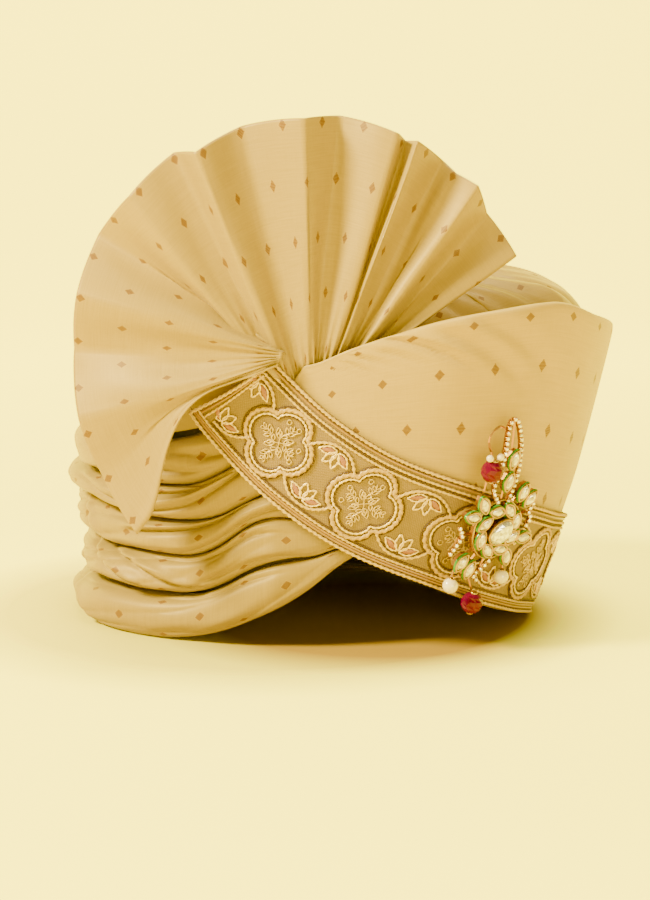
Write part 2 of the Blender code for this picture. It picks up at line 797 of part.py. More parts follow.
def crystal_row(name, points, frame, finish):
    """A row of crystals fused in one strip: it swells to each table and narrows between."""
    length = sum((b - a).length for a, b in zip(points, points[1:]))
    count = max(2, round(length / (CRYSTAL * 1.12)))
    line = rounded(points, count * 3 + 1)
    sides = 5

    def place(side, share):
        k = round(share * (len(line) - 1))
        ahead = line[min(k + 1, len(line) - 1)]
        back = line[max(k - 1, 0)]
        forward = (ahead - back).normalized()
        out = Vector((0, 0, 1))
        beside = forward.cross(out).normalized()
        radius = CRYSTAL / 2 * (1.0 if k % 3 else 0.55)
        turn = math.tau * (side + 0.25) / sides
        return frame @ (line[k] + (beside * math.cos(turn) + out * math.sin(turn)) * radius)

    return loft(name, sides, len(line) - 1, place, finish)


def bead(name, diameter, spot, out, frame, finish, meridians, rings):
    shape = bmesh.new()
    bmesh.ops.create_uvsphere(shape, u_segments=meridians, v_segments=rings, radius=diameter / 2)
    bmesh.ops.rotate(shape, matrix=Matrix.Rotation(math.pi / 2, 3, "X"), verts=shape.verts)
    return put(name, shape, frame, spot.x, spot.y, out, 0, finish)


def joined(body, others):
    """The body with the others fused to it, as soldered metal is one solid."""
    for other in others:
        union = body.modifiers.new(f"join_{other.name}", "BOOLEAN")
        union.operation = "UNION"
        union.object = other
        union.solver = "EXACT"
        other.hide_render = True
        other.display_type = "WIRE"
        PARTS.objects.unlink(other)
        CUTTERS.objects.link(other)
    return body


def make_brooch(metal, crystal, ruby, pearl):
    frame = brooch_frame()
    plate = bmesh.new()
    bmesh.ops.create_cone(
        plate, cap_ends=True, segments=28, radius1=PLATE_RADIUS, radius2=PLATE_RADIUS, depth=PLATE_THICKNESS
    )
    body = put("brooch_frame", plate, frame, 0, 0, PLATE_THICKNESS / 2, 0, metal)
    fused = []
    stones_at = PLATE_THICKNESS + CUP_DEPTH
    for name, across, up, turn in petal_places():
        cup_foot = (PETAL_LENGTH * 1.16, PETAL_WIDTH * 1.20)
        cup = marquise(solid_cone(8, cup_foot, cup_foot, stones_at - 0.0002))
        fused.append(put(f"cup_{name}", cup, frame, across, up, 0.0001, turn, metal))
        stone = marquise(
            solid_cone(8, (PETAL_LENGTH, PETAL_WIDTH), (PETAL_LENGTH * 0.55, PETAL_WIDTH * 0.5), STONE_DEPTH)
        )
        put(name, stone, frame, across, up, stones_at + STONE_GAP, turn, crystal)
        if name.startswith("outer"):
            petal_at = Vector((across, up, PLATE_THICKNESS / 2))
            hub = petal_at.normalized() * PLATE_RADIUS * 0.85
            hub.z = PLATE_THICKNESS / 2
            fused.append(wire(f"rail_{name}", [hub, petal_at], WIRE * 1.4, frame, metal))
    oval_cup = (CENTRE_STONE_LENGTH * 1.08, CENTRE_STONE_WIDTH * 1.08)
    cup = solid_cone(16, oval_cup, oval_cup, stones_at + CUP_DEPTH)
    fused.append(put("cup_centre", cup, frame, 0, 0, 0.0002, 35, metal))
    centre = solid_cone(
        16,
        (CENTRE_STONE_LENGTH, CENTRE_STONE_WIDTH),
        (CENTRE_STONE_LENGTH * 0.6, CENTRE_STONE_WIDTH * 0.6),
        STONE_DEPTH * 1.5,
    )
    put("centre_stone", centre, frame, 0, 0, stones_at + CUP_DEPTH + 0.0002 + STONE_GAP, 35, crystal)

    middle = PLATE_THICKNESS / 2
    plume = rounded(spots(PLUME, PLUME_WIDTH, PLUME_HEIGHT, middle), 20)
    fused.append(wire("rail_plume", plume, WIRE * 1.5, frame, metal))
    spine = [
        Vector((-0.05 * PLUME_WIDTH, PLATE_RADIUS * 0.8, middle)),
        Vector((-0.05 * PLUME_WIDTH, PLUME_HEIGHT * PLUME_STONES[1], middle)),
        Vector((-0.30 * PLUME_WIDTH, PLUME_HEIGHT * 0.97, middle)),
    ]
    fused.append(wire("rail_spine", rounded(spine, 8), WIRE, frame, metal))
    ruby_top = Vector((RUBY_TOP.across * OUTER_REACH, RUBY_TOP.up * OUTER_REACH, 0))
    hook = spots(HOOK, PLUME_WIDTH, PLUME_HEIGHT, middle)
    hook.append(Vector((ruby_top.x, ruby_top.y + RUBY / 2 + STONE_GAP, middle * 2)))
    fused.append(wire("rail_hook", rounded(hook, 10), WIRE, frame, metal))
    pin_foot = Vector((petal_places()[INNER_PETALS + 2][1], petal_places()[INNER_PETALS + 2][2], middle))
    pin_head = Vector((ruby_top.x, ruby_top.y - RUBY / 2 - STONE_GAP, middle * 2))
    fused.append(wire("rail_pin", [pin_foot, pin_head], WIRE, frame, metal))
    for name, spot, size, start in (
        ("left", PEARL_LEFT, PEARL, OUTER_PETALS[6]),
        ("right", PEARL_RIGHT, PEARL, OUTER_PETALS[5]),
        ("low", RUBY_LOW, RUBY, OUTER_PETALS[7]),
    ):
        turn = math.radians(start.angle)
        reach = OUTER_REACH * start.reach
        begin = Vector((reach * math.cos(turn), reach * math.sin(turn), middle))
        end = Vector((spot.across * OUTER_REACH, spot.up * OUTER_REACH + size / 2 + STONE_GAP, middle * 2))
        fused.append(wire(f"rail_{name}", rounded([begin, begin.lerp(end, 0.55), end], 6), WIRE, frame, metal))
    for name, line in (("left", LEFT_CRYSTALS), ("right", RIGHT_CRYSTALS), ("lower", LOWER_CRYSTALS)):
        points = spots(line, OUTER_REACH, OUTER_REACH, middle)
        anchor = points[1] * 0.6 + Vector((0, 0, middle * 0.4))
        backing = rounded([anchor, points[1], points[2], points[3]], 8)
        fused.append(wire(f"rail_{name}_crystals", backing, WIRE * 1.2, frame, metal))
        lifted = [p + Vector((0, 0, CRYSTAL / 2 + WIRE * 0.6 + STONE_GAP)) for p in points]
        crystal_row(f"crystals_{name}", lifted, frame, crystal)
    post = Vector((0, 0, PLATE_THICKNESS / 2))
    foot = Vector((0, 0, -(BROOCH_STAND - STONE_GAP)))
    fused.append(wire("rail_post", [post, foot], WIRE * 3, frame, metal, sides=1))
    joined(body, fused)

    lift = Vector((0, 0, CRYSTAL / 2 + WIRE * 0.75 + STONE_GAP))
    top_row = [p + lift for p in spots(PLUME, PLUME_WIDTH, PLUME_HEIGHT, middle)]
    crystal_row("crystals_plume", top_row, frame, crystal)

    drop = RUBY / 2 - BROOCH_STAND + 0.0012
    bead("ruby_top", RUBY, ruby_top, max(drop, middle), frame, ruby, 10, 7)
    for k, side in enumerate((-1, 1)):
        above = RUBY / 2 + SEED_PEARL / 2 + STONE_GAP
        seed_at = ruby_top + Vector((side * 0.44 * above, 0.9 * above, 0))
        bead(f"seed_pearl_{k + 1}", SEED_PEARL, seed_at, max(drop, middle), frame, pearl, 10, 6)
    low = Vector((RUBY_LOW.across * OUTER_REACH, RUBY_LOW.up * OUTER_REACH, 0))
    bead("ruby_low", RUBY, low, max(drop, middle), frame, ruby, 10, 7)
    for name, spot in (("pearl_left", PEARL_LEFT), ("pearl_right", PEARL_RIGHT)):
        centre_at = Vector((spot.across * OUTER_REACH, spot.up * OUTER_REACH, 0))
        bead(name, PEARL, centre_at, PEARL / 2 - BROOCH_STAND + 0.0016, frame, pearl, 10, 7)


PARTS = bpy.data.collections.new("tied_turban")
CUTTERS = bpy.data.collections.new("fused_pieces")


def stand_on_origin():
    """Puts the origin under the middle of the turban's box, on the surface it stands on."""
    graph = bpy.context.evaluated_depsgraph_get()
    corners = [
        piece.matrix_world @ Vector(corner)
        for piece in PARTS.objects
        for corner in piece.evaluated_get(graph).bound_box
    ]
    low = Vector(map(min, zip(*corners)))
    high = Vector(map(max, zip(*corners)))
    middle = (low + high) / 2
    shift = Vector((middle.x, middle.y, low.z))
    for collection in (PARTS, CUTTERS):
        for piece in collection.objects:
            piece.location = piece.location - shift


def main():
    for thing in list(bpy.data.objects):
        bpy.data.objects.remove(thing)
    for collection in (PARTS, CUTTERS):
        bpy.context.scene.collection.children.link(collection)
    silk = material("cream_silk", CREAM_SILK, 0.55)
    thread = material("gold_embroidery", GOLD_THREAD, 0.5, 0.2)
    metal = material("rose_gold", GOLD, 0.25, 1.0)
    crystal = material("crystal", CRYSTAL_WHITE, 0.08)
    ruby = material("ruby_glass", RUBY_RED, 0.12)
    pearl = material("pearl", PEARL_WHITE, 0.2)
    make_cap(silk)
    for number in range(1, len(SEAM_NAMES)):
        make_roll(number, silk)
    make_panel(silk)
    make_border(thread)
    make_crown(silk)
    make_fan(silk)
    make_brooch(metal, crystal, ruby, pearl)
    stand_on_origin()


main()
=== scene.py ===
# %% [markdown]
# A groom's tied turban is silk wound and stitched over a thin cap. This lesson dresses its
# plain solids: first the twisted rolls, the panel over the brow, the gathered crown and
# the fan of pleats, then the embroidered border and the brooch, and last the finishes,
# the floor and the light. Everything is in metres, in the frame of the solids.

# %% Load the solids
import math
from collections import namedtuple

import bmesh
import bpy
import numpy as np
from mathutils import Matrix, Vector


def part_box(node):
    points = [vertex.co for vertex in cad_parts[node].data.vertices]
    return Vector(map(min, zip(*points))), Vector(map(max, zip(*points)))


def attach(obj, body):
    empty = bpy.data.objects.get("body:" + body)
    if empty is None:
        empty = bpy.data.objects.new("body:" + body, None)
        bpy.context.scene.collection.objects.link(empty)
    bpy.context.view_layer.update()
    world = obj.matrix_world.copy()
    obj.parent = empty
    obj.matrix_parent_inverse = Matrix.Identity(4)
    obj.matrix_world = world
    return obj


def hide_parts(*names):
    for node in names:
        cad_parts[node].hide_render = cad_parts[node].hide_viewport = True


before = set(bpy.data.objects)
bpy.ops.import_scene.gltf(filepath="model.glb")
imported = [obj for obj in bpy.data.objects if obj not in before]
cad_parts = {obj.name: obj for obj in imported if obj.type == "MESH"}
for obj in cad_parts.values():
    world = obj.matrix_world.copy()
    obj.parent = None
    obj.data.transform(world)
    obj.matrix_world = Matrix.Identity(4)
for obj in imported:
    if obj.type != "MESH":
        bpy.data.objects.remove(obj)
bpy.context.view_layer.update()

print("nodes to dress:", len(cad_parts))

# %% [markdown]
# The photograph was taken from the wearer's right front, 45 degrees round, with the
# camera 8.4 degrees above the level. The camera aims just beside the head's axis, 79 mm up.

# %% Camera
MM = 0.001
cap_low, cap_high = (Vector(corner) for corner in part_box("cap"))
AXIS_X = (cap_low.x + cap_high.x) / 2
AXIS_Y = (cap_low.y + cap_high.y) / 2
CAP_HALF_WIDTH = (cap_high.x - cap_low.x) / 2
CAP_HALF_LENGTH = (cap_high.y - cap_low.y) / 2

VIEW_BEARING = math.radians(45)
VIEW_RISE = math.radians(8.4)
VIEW_DISTANCE = 1.10
FRAME_HEIGHT = 0.450
AIM_HEIGHT = 79 * MM
AIM_RIGHT = 2.5 * MM
SENSOR = 36.0

towards_camera = Vector(
    (
        -math.sin(VIEW_BEARING) * math.cos(VIEW_RISE),
        -math.cos(VIEW_BEARING) * math.cos(VIEW_RISE),
        math.sin(VIEW_RISE),
    )
)
view_right = Vector((math.cos(VIEW_BEARING), -math.sin(VIEW_BEARING), 0))
aim = Vector((AXIS_X, AXIS_Y, AIM_HEIGHT)) + view_right * AIM_RIGHT
camera_data = bpy.data.cameras.new("view")
camera_data.lens = SENSOR * VIEW_DISTANCE / FRAME_HEIGHT
camera_data.sensor_width = SENSOR
camera = bpy.data.objects.new("view", camera_data)
camera.location = aim + towards_camera * VIEW_DISTANCE
camera.rotation_euler = towards_camera.to_track_quat("Z", "Y").to_euler()
bpy.context.scene.collection.objects.link(camera)
bpy.context.scene.camera = camera
print("lens", round(camera_data.lens, 1), "mm")

# %% [markdown]
# The shapes come from short tables, as the solids do. Each row is a bearing in degrees,
# from the front towards the wearer's right, and shares of named sizes. A smooth curve
# that never overshoots joins the rows, worked out for whole arrays of points at once.

# %% Smooth curves through tables


def along(table, column, at):
    """The column's value at places along the table's first column."""
    places = np.array([row[0] for row in table], float)
    values = np.array([getattr(row, column) for row in table], float)
    steps = np.diff(values) / np.diff(places)
    slopes = np.zeros(len(values))
    rising = steps[:-1] * steps[1:] > 0
    safe = np.where(rising, steps[:-1] + steps[1:], 1.0)
    slopes[1:-1] = np.where(rising, 2 * steps[:-1] * steps[1:] / safe, 0.0)
    at = np.clip(at, places[0], places[-1])
    k = np.clip(np.searchsorted(places, at, side="right") - 1, 0, len(places) - 2)
    span = places[k + 1] - places[k]
    u = (at - places[k]) / span
    return (
        (2 * u**3 - 3 * u**2 + 1) * values[k]
        + (u**3 - 2 * u**2 + u) * span * slopes[k]
        + (3 * u**2 - 2 * u**3) * values[k + 1]
        + (u**3 - u**2) * span * slopes[k + 1]
    )


def smooth(share):
    share = np.clip(share, 0.0, 1.0)
    return share * share * (3 - 2 * share)


def between(start, end, share):
    return start + (end - start) * share


def power(value, exponent):
    return np.sign(value) * np.abs(value) ** exponent


def polar(bearing, radius, height):
    turn = np.radians(bearing)
    x = AXIS_X - radius * np.sin(turn)
    y = AXIS_Y - radius * np.cos(turn)
    return np.stack(np.broadcast_arrays(x, y, height), axis=-1)


def signed_bearing(bearing):
    return (bearing + 180) % 360 - 180


def ripple(across, along_it, seed):
    """A soft, uneven wave between -1 and 1, from a few sines that never repeat."""
    dice = np.random.default_rng(seed)
    total = 0.0
    for _ in range(5):
        turn = dice.uniform(0, math.tau)
        wave = dice.uniform(0.6, 1.7, 2)
        total = total + np.sin(across * wave[0] + along_it * wave[1] + turn)
    return total / 3.2


def fold(turns, sharpness):
    """Lobes between 0 and 1 with a crease at each whole turn; less is sharper."""
    return np.abs(np.sin(np.pi * turns)) ** sharpness


# %% [markdown]
# The skin is the outer face of the border. It stands off the cap, starts at the lower
# edge, which climbs from the brow to the right temple, and leans out as it rises.

# %% The skin of the turban
BORDER_RISE = 100 * MM
BORDER_WIDTH = 49 * MM
BORDER_WALL = 1.6 * MM
LAYER_GAP = 0.6 * MM
BROW_STAND_OFF = 11 * MM
PANEL_PEAK = 161 * MM
PANEL_WALL = 2.2 * MM
SILK_WALL = 1.0 * MM
THIN_WALL = 0.9 * MM
LEAN_START = 0.38
LEAN_EASE = 0.62

Edge = namedtuple("Edge", "bearing rise")
BORDER_EDGE = (
    Edge(-120, 0.0),
    Edge(-70, 0.0),
    Edge(-42, 0.0),
    Edge(-15, 0.085),
    Edge(0, 0.17),
    Edge(20, 0.32),
    Edge(40, 0.49),
    Edge(58, 0.72),
    Edge(74, 1.01),
    Edge(90, 1.33),
)
Panel = namedtuple("Panel", "bearing top lean stand_off hem")
PANEL = (
    Panel(-124, 0.74, 0.25, 1.95, 0.0),
    Panel(-100, 0.79, 0.45, 1.65, 0.0),
    Panel(-84, 0.83, 0.62, 1.30, 0.0),
    Panel(-74, 0.85, 0.75, 1.15, 1.0),
    Panel(-45, 0.885, 1.00, 1.00, 1.0),
    Panel(-15, 0.950, 1.00, 1.00, 1.0),
    Panel(0, 1.00, 0.95, 1.00, 1.0),
    Panel(17, 0.975, 0.80, 1.08, 1.0),
    Panel(30, 0.920, 0.55, 1.20, 1.0),
    Panel(38, 0.880, 0.42, 1.28, 0.0),
    Panel(46, 0.835, 0.30, 1.42, 0.0),
    Panel(60, 0.80, 0.15, 1.75, 0.0),
    Panel(74, 0.76, 0.05, 2.15, 0.0),
    Panel(92, 0.70, 0.0, 2.55, 0.0),
)


def cap_side(bearing):
    turn = np.radians(bearing)
    reach = np.hypot(CAP_HALF_WIDTH * np.cos(turn), CAP_HALF_LENGTH * np.sin(turn))
    return CAP_HALF_LENGTH * CAP_HALF_WIDTH / reach


def border_foot(bearing):
    return BORDER_RISE * along(BORDER_EDGE, "rise", bearing)


def stand_off(bearing):
    return BROW_STAND_OFF * along(PANEL, "stand_off", bearing)


def skin_radius(bearing, height):
    up = np.maximum(0.0, height - border_foot(bearing))
    lean = LEAN_START * up - LEAN_EASE * up * up
    return cap_side(bearing) + stand_off(bearing) + lean * along(PANEL, "lean", bearing)


def panel_radius(bearing, height):
    return skin_radius(bearing, height) - BORDER_WALL - LAYER_GAP


def panel_top(bearing):
    return PANEL_PEAK * along(PANEL, "top", bearing)


print("brow height", round(float(border_foot(0.0)) / MM, 1), "mm")

# %% [markdown]
# Cloth is a flat grid whose every point is moved to where the folds put it. Its UV map
# keeps the flat cloth's own metres, so the weave and the woven figures have one scale.

# %% Cloth from a grid


def spots_of(verts):
    return np.array([vertex.co for vertex in verts])


def place_verts(verts, spots):
    for vertex, spot in zip(verts, spots):
        vertex.co = spot


def run_of(points):
    """Metres run along a line, at each of its points."""
    return np.concatenate(([0.0], np.cumsum(np.linalg.norm(np.diff(points, axis=0), axis=1))))


def cloth(name, columns, rows, place, width, length, wrap=False, fill=True, flat=None):
    """A grid, with u across and v along it, moved to place(u, v); wrapped, it meets itself."""
    shape = bmesh.new()
    layer = shape.loops.layers.uv.new("flat")
    bmesh.ops.create_grid(shape, x_segments=columns, y_segments=rows, size=0.5)
    spots = spots_of(shape.verts) + 0.5
    u, v = np.round(spots[:, 0] * columns) / columns, np.round(spots[:, 1] * rows) / rows
    flat_u, flat_v = flat(u, v) if flat else (u * width, v * length)
    for face in shape.faces:
        for loop in face.loops:
            k = loop.vert.index
            loop[layer].uv = (flat_u[k], flat_v[k])
    place_verts(shape.verts, place(u, v))
    if wrap:
        bmesh.ops.remove_doubles(shape, verts=shape.verts, dist=1e-6)
    if wrap and fill:
        ends = [edge for edge in shape.edges if edge.is_boundary]
        bmesh.ops.holes_fill(shape, edges=ends, sides=0)
    return piece(name, shape)


def piece(name, shape, flip=False):
    """The object of a finished bmesh, at the origin, shaded smooth."""
    bmesh.ops.recalc_face_normals(shape, faces=shape.faces)
    if flip:
        bmesh.ops.reverse_faces(shape, faces=shape.faces)
    mesh = bpy.data.meshes.new(name)
    shape.to_mesh(mesh)
    shape.free()
    mesh.shade_smooth()
    made = bpy.data.objects.new(name, mesh)
    bpy.context.scene.collection.objects.link(made)
    return made


def outwards(made):
    """Turns a sheet's faces away from the head's axis."""
    mesh = made.data
    middle = Vector((AXIS_X, AXIS_Y, 60 * MM))
    away = sum((face.center - middle).dot(face.normal) * face.area for face in mesh.polygons)
    if away < 0:
        mesh.flip_normals()


def walled(made, wall):
    """Gives a sheet its thickness, inwards from the face that shows."""
    outwards(made)
    solid = made.modifiers.new("wall", "SOLIDIFY")
    solid.thickness = wall
    solid.offset = -1


def seat(made, slot, *nodes):
    """Puts a finished piece on the turban, in place of the plain solids it dresses."""
    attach(made, "root")
    if nodes:
        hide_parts(*nodes)
    print(made.name, len(made.data.polygons), "faces")
    return made


# %% [markdown]
# Five rolls of twisted silk wind round the back. Each one follows two seams, is flat
# where it meets the floor, and has creases that climb round it as a twisted cloth's do.
# A roll is many turns of cloth, so it is made as one padded tube with deep creases.

# %% Rolls
ROLL_STACK = 95 * MM
ROLL_THICKNESS = 32 * MM
ROLL_GAP = 0.3 * MM
ROLL_START = 36.0
ROLL_END = 262.0
CAP_TOP = cap_high.z
CAP_SHOULDER = 62 * MM
CAP_ROUNDNESS = 2.3

Seam = namedtuple("Seam", "bearing floor first second third fourth top thickness")
SEAMS = (
    Seam(34, 0.50, 0.56, 0.66, 0.77, 0.90, 1.04, 0.26),
    Seam(42, 0.385, 0.465, 0.605, 0.76, 0.92, 1.08, 0.30),
    Seam(48, 0.285, 0.455, 0.62, 0.79, 0.95, 1.10, 0.34),
    Seam(58, 0.19, 0.44, 0.675, 0.79, 0.98, 1.12, 0.42),
    Seam(68, 0.10, 0.35, 0.56, 0.68, 0.91, 1.11, 0.51),
    Seam(80, 0.03, 0.24, 0.42, 0.60, 0.78, 1.04, 0.62),
    Seam(95, 0.0, 0.228, 0.43, 0.60, 0.77, 0.98, 0.88),
    Seam(120, 0.0, 0.22, 0.43, 0.62, 0.80, 0.98, 1.0),
    Seam(150, 0.0, 0.24, 0.45, 0.63, 0.81, 0.99, 1.0),
    Seam(180, 0.0, 0.23, 0.44, 0.63, 0.82, 1.0, 1.0),
    Seam(215, 0.0, 0.22, 0.44, 0.63, 0.82, 1.0, 0.97),
    Seam(232, 0.0, 0.22, 0.43, 0.62, 0.81, 0.99, 0.72),
    Seam(244, 0.0, 0.22, 0.43, 0.62, 0.81, 0.99, 0.42),
    Seam(262, 0.02, 0.23, 0.43, 0.61, 0.79, 0.95, 0.20),
)
SEAM_NAMES = ("floor", "first", "second", "third", "fourth", "top")
SEAM_WAVE = 2.8 * MM
SEAM_EASE = 3.5
TWIST = 1.25

# A crease of a roll: from one bearing to another, at so many degrees up from the middle
# of the roll's face at its two ends, with its width in degrees and its depth
Crease = namedtuple("Crease", "roll start end low high width depth")
CREASES = (
    Crease(1, 137, 108, 80, -85, 9, 2.6 * MM),
    Crease(1, 104, 50, 72, 30, 9, 1.8 * MM),
    Crease(1, 92, 60, -30, -62, 12, 1.2 * MM),
    Crease(2, 131, 86, 85, -80, 9, 4.2 * MM),
    Crease(2, 117, 74, 95, -70, 8, 3.8 * MM),
    Crease(2, 98, 50, 62, 12, 10, 2.2 * MM),
    Crease(2, 80, 48, -20, -60, 10, 1.8 * MM),
    Crease(3, 138, 104, 90, -90, 9, 4.0 * MM),
    Crease(3, 104, 58, 0, 64, 8, 4.2 * MM),
    Crease(3, 88, 50, -52, -6, 10, 2.2 * MM),
    Crease(4, 128, 84, 40, -70, 10, 2.4 * MM),
    Crease(4, 106, 76, 14, 44, 7, 3.2 * MM),
    Crease(4, 98, 56, -34, 50, 8, 3.8 * MM),
    Crease(4, 84, 56, 66, 26, 8, 2.6 * MM),
    Crease(5, 124, 70, 46, -46, 10, 2.8 * MM),
    Crease(5, 88, 50, 24, -56, 9, 2.6 * MM),
)


def seam(name, bearing):
    order = SEAM_NAMES.index(name)
    behind = smooth((bearing - 92) / 30) * smooth((240 - bearing) / 30)
    wave = SEAM_WAVE * behind * np.sin(np.radians(3.4 * bearing + 137 * order))
    eased = sum(along(SEAMS, name, bearing + SEAM_EASE * step) for step in (-2, -1, 0, 1, 2)) / 5
    return ROLL_STACK * eased + wave * (order > 0)


def creased(number, bearing, section):
    """How far the roll's creases sink in: each a sharp valley beside a soft ridge."""
    sunk = 0.0
    for crease in CREASES:
        if crease.roll != number:
            continue
        share = (bearing - crease.start) / (crease.end - crease.start)
        off = (section - between(crease.low, crease.high, np.clip(share, 0, 1))) / crease.width
        valley = np.exp(-np.abs(off)) - 0.55 * np.exp(-(((off - 2.4) / 1.5) ** 2))
        ends = smooth(share * 5) * smooth((1 - share) * 4)
        sunk = sunk + crease.depth * valley * ends
    return sunk


def cap_radius(bearing, height):
    rise = np.clip((height - CAP_SHOULDER) / (CAP_TOP - CAP_SHOULDER), 0.0, 1.0)
    return cap_side(bearing) * (1 - rise**CAP_ROUNDNESS) ** (1 / CAP_ROUNDNESS)


def roll_place(number):
    low_name, high_name = SEAM_NAMES[number - 1], SEAM_NAMES[number]

    def place(u, v):
        bearing = between(ROLL_START, ROLL_END, v)
        low = seam(low_name, bearing) + ROLL_GAP / 2 * (number > 1)
        high = seam(high_name, bearing) - ROLL_GAP / 2
        end = np.minimum(1.0, 0.45 + 6.0 * np.minimum(v, 1 - v))
        thickness = ROLL_THICKNESS * along(SEAMS, "thickness", bearing) * end
        full = smooth((bearing - 88) / 20) * smooth((240 - bearing) / 20)
        thickness = thickness * (1 + 0.11 * full * np.sin(np.radians(3.1 * bearing + 100 * number)))
        turn = math.tau * (u + 0.5)
        round_x, round_y = np.cos(turn), np.sin(turn)
        climb = u + TWIST * v + 0.06 * ripple(round_x, 9 * v, 10 * number)
        plies = fold(2 * climb + 0.31 * number, 0.40)
        creases = fold(3 * climb + 1.1 * ripple(1.4 * round_y, 8 * v, number), 0.62)
        fine = ripple(9 * round_x + 5 * round_y, 46 * v, 40 + number)
        behind = smooth((bearing - 112) / 24)
        depth = 0.24 * (1 - plies) * between(0.35, 1, behind) + 0.085 * (1 - creases) + 0.014 * fine
        section = np.degrees(np.arctan2(round_y, round_x))
        depth = depth + creased(number, bearing, section) / np.maximum(thickness, 6 * MM) * 1.4
        front = np.clip(round_x + 0.35, 0, 1)
        outward = power(round_x, np.where(round_x > 0, 0.86, 0.50))
        outward = outward * (1 - 1.5 * depth * front)
        upward = power(round_y, 0.80) * (1 - 0.32 * depth)
        height = (low + high) / 2 + (high - low) / 2 * upward
        if number == 1:
            height = np.maximum(height - 0.05 * (high - low), seam("floor", bearing))
        inner = between(cap_side(bearing), cap_radius(bearing, height), np.clip(-outward, 0, 1))
        return polar(bearing, inner + 0.5 * MM + thickness / 2 * (1 + outward), height)

    return place


rolls = []
for number in range(1, len(SEAM_NAMES)):
    roll = cloth(f"roll_{number}_silk", 96, 320, roll_place(number), 0.092, 0.46, wrap=True)
    rolls.append(seat(roll, "cream_silk", f"roll_{number}"))

# %% [markdown]
# The panel is folded silk that leans out over the brow. Its cloth starts at the cap,
# turns under at the hem, climbs the outside and is rolled in at the top. Soft gathers
# spread over it from the knot at the right temple, and they are gone where the border
# and the brooch lie flat on it.

# %% Front panel
PANEL_FOOT = (80.0, -90.0)
PANEL_HEAD = (48.5, -117.0)
PANEL_FOLD = 5 * MM
FOLD_EASE = 24.0
FAN_BEARING = 45.0
KNOT_TURN = 3.0
FAN_TUCK = 6 * MM
KNOT_BEARING = FAN_BEARING + KNOT_TURN
PANEL_REACH = 132 * MM
GATHER_BEND = 520.0

# A gather of the panel: the line it lies on, as its angle up from the knot plus
# GATHER_BEND times its distance, then its width in the same degrees, its depth, and
# where it starts and ends from the knot
Gather = namedtuple("Gather", "line width depth start end")
GATHERS = (
    Gather(6, 2.6, 0.7 * MM, 7 * MM, 34 * MM),
    Gather(14, 2.2, 0.9 * MM, 8 * MM, 44 * MM),
    Gather(23, 1.9, 1.2 * MM, 14 * MM, 50 * MM),
    Gather(31, 1.7, 1.1 * MM, 30 * MM, 66 * MM),
    Gather(39.5, 1.7, 2.4 * MM, 34 * MM, 86 * MM),
    Gather(48, 2.8, 2.2 * MM, 58 * MM, 116 * MM),
    Gather(57, 3.4, 1.5 * MM, 72 * MM, 130 * MM),
)

Turn = namedtuple("Turn", "step height hem fold")
PANEL_SECTION = (
    Turn(0.00, 0.09, 1.0, 0.0),
    Turn(0.05, 0.00, 1.0, 0.0),
    Turn(0.09, 0.00, 0.3, 0.0),
    Turn(0.12, 0.01, 0.0, 0.0),
    Turn(0.82, 0.955, 0.0, 0.0),
    Turn(0.86, 0.99, 0.0, 0.15),
    Turn(0.89, 1.00, 0.0, 0.55),
    Turn(0.92, 0.985, 0.0, 0.95),
    Turn(1.00, 0.90, 0.0, 1.15),
)


def fold_depth(bearing):
    return PANEL_FOLD * smooth((FAN_BEARING - bearing) / FOLD_EASE)


def knot_gathers(bearing, height):
    """How far the panel's gathers sink in, as curved valleys that leave the knot."""
    across = np.maximum(np.radians(KNOT_BEARING - bearing) * PANEL_REACH, 0.1 * MM)
    up = height - panel_top(KNOT_BEARING)
    reach = np.hypot(across, up)
    line = np.degrees(np.arctan2(up, across)) + GATHER_BEND * reach
    clear = smooth((height - border_foot(bearing) - 1.02 * BORDER_WIDTH) / (10 * MM))
    sunk = 0.0
    for gather in GATHERS:
        off = (line - gather.line) / gather.width
        valley = np.exp(-(off**2)) - 0.45 * np.exp(-(((off - 1.9) / 1.2) ** 2))
        ends = smooth((reach - gather.start) / (12 * MM)) * smooth((gather.end - reach) / (26 * MM))
        sunk = sunk - gather.depth * valley * ends
    return sunk * clear


def panel_waves(bearing, height):
    """The slack of the cloth far from the knot."""
    clear = smooth((height - border_foot(bearing) - 1.05 * BORDER_WIDTH) / (24 * MM))
    return 0.8 * MM * ripple(bearing / 13, height / (30 * MM), 8) * clear


def panel_spot(u, v):
    """How far up its height the panel's cloth is, and its bearing there."""
    share = along(PANEL_SECTION, "height", v)
    return share, between(between(*PANEL_FOOT, u), between(*PANEL_HEAD, u), share)


def panel_place(u, v):
    share, bearing = panel_spot(u, v)
    hem = along(PANEL_SECTION, "hem", v)
    turn_in = along(PANEL_SECTION, "fold", v)
    foot = border_foot(bearing)
    edge = panel_top(bearing) + 0.9 * MM * ripple(bearing / 9, 0 * v, 3) * (np.abs(bearing) < 44)
    height = between(foot, edge, share)
    filled = np.maximum(0.0, stand_off(bearing) - BORDER_WALL - LAYER_GAP - PANEL_WALL)
    depth = hem * (filled * along(PANEL, "hem", bearing) + 0.8 * MM)
    depth = depth + turn_in * np.maximum(fold_depth(bearing), 1.2 * MM)
    height = np.where(hem > 0.01, np.minimum(height, foot + 12 * MM), height)
    radius = panel_radius(bearing, height) - depth
    sunk = knot_gathers(bearing, height) + panel_waves(bearing, height)
    return polar(bearing, radius + sunk * (1 - smooth(turn_in)), height)


def panel_flat(u, v):
    bearing = panel_spot(u, v)[1]
    return -np.radians(bearing) * 0.125, v * 0.185 + 0.003 * np.cos(np.radians(bearing))


panel = cloth("front_panel_silk", 270, 110, panel_place, 1, 1, flat=panel_flat)
walled(panel, SILK_WALL)
seat(panel, "cream_silk", "front_panel")

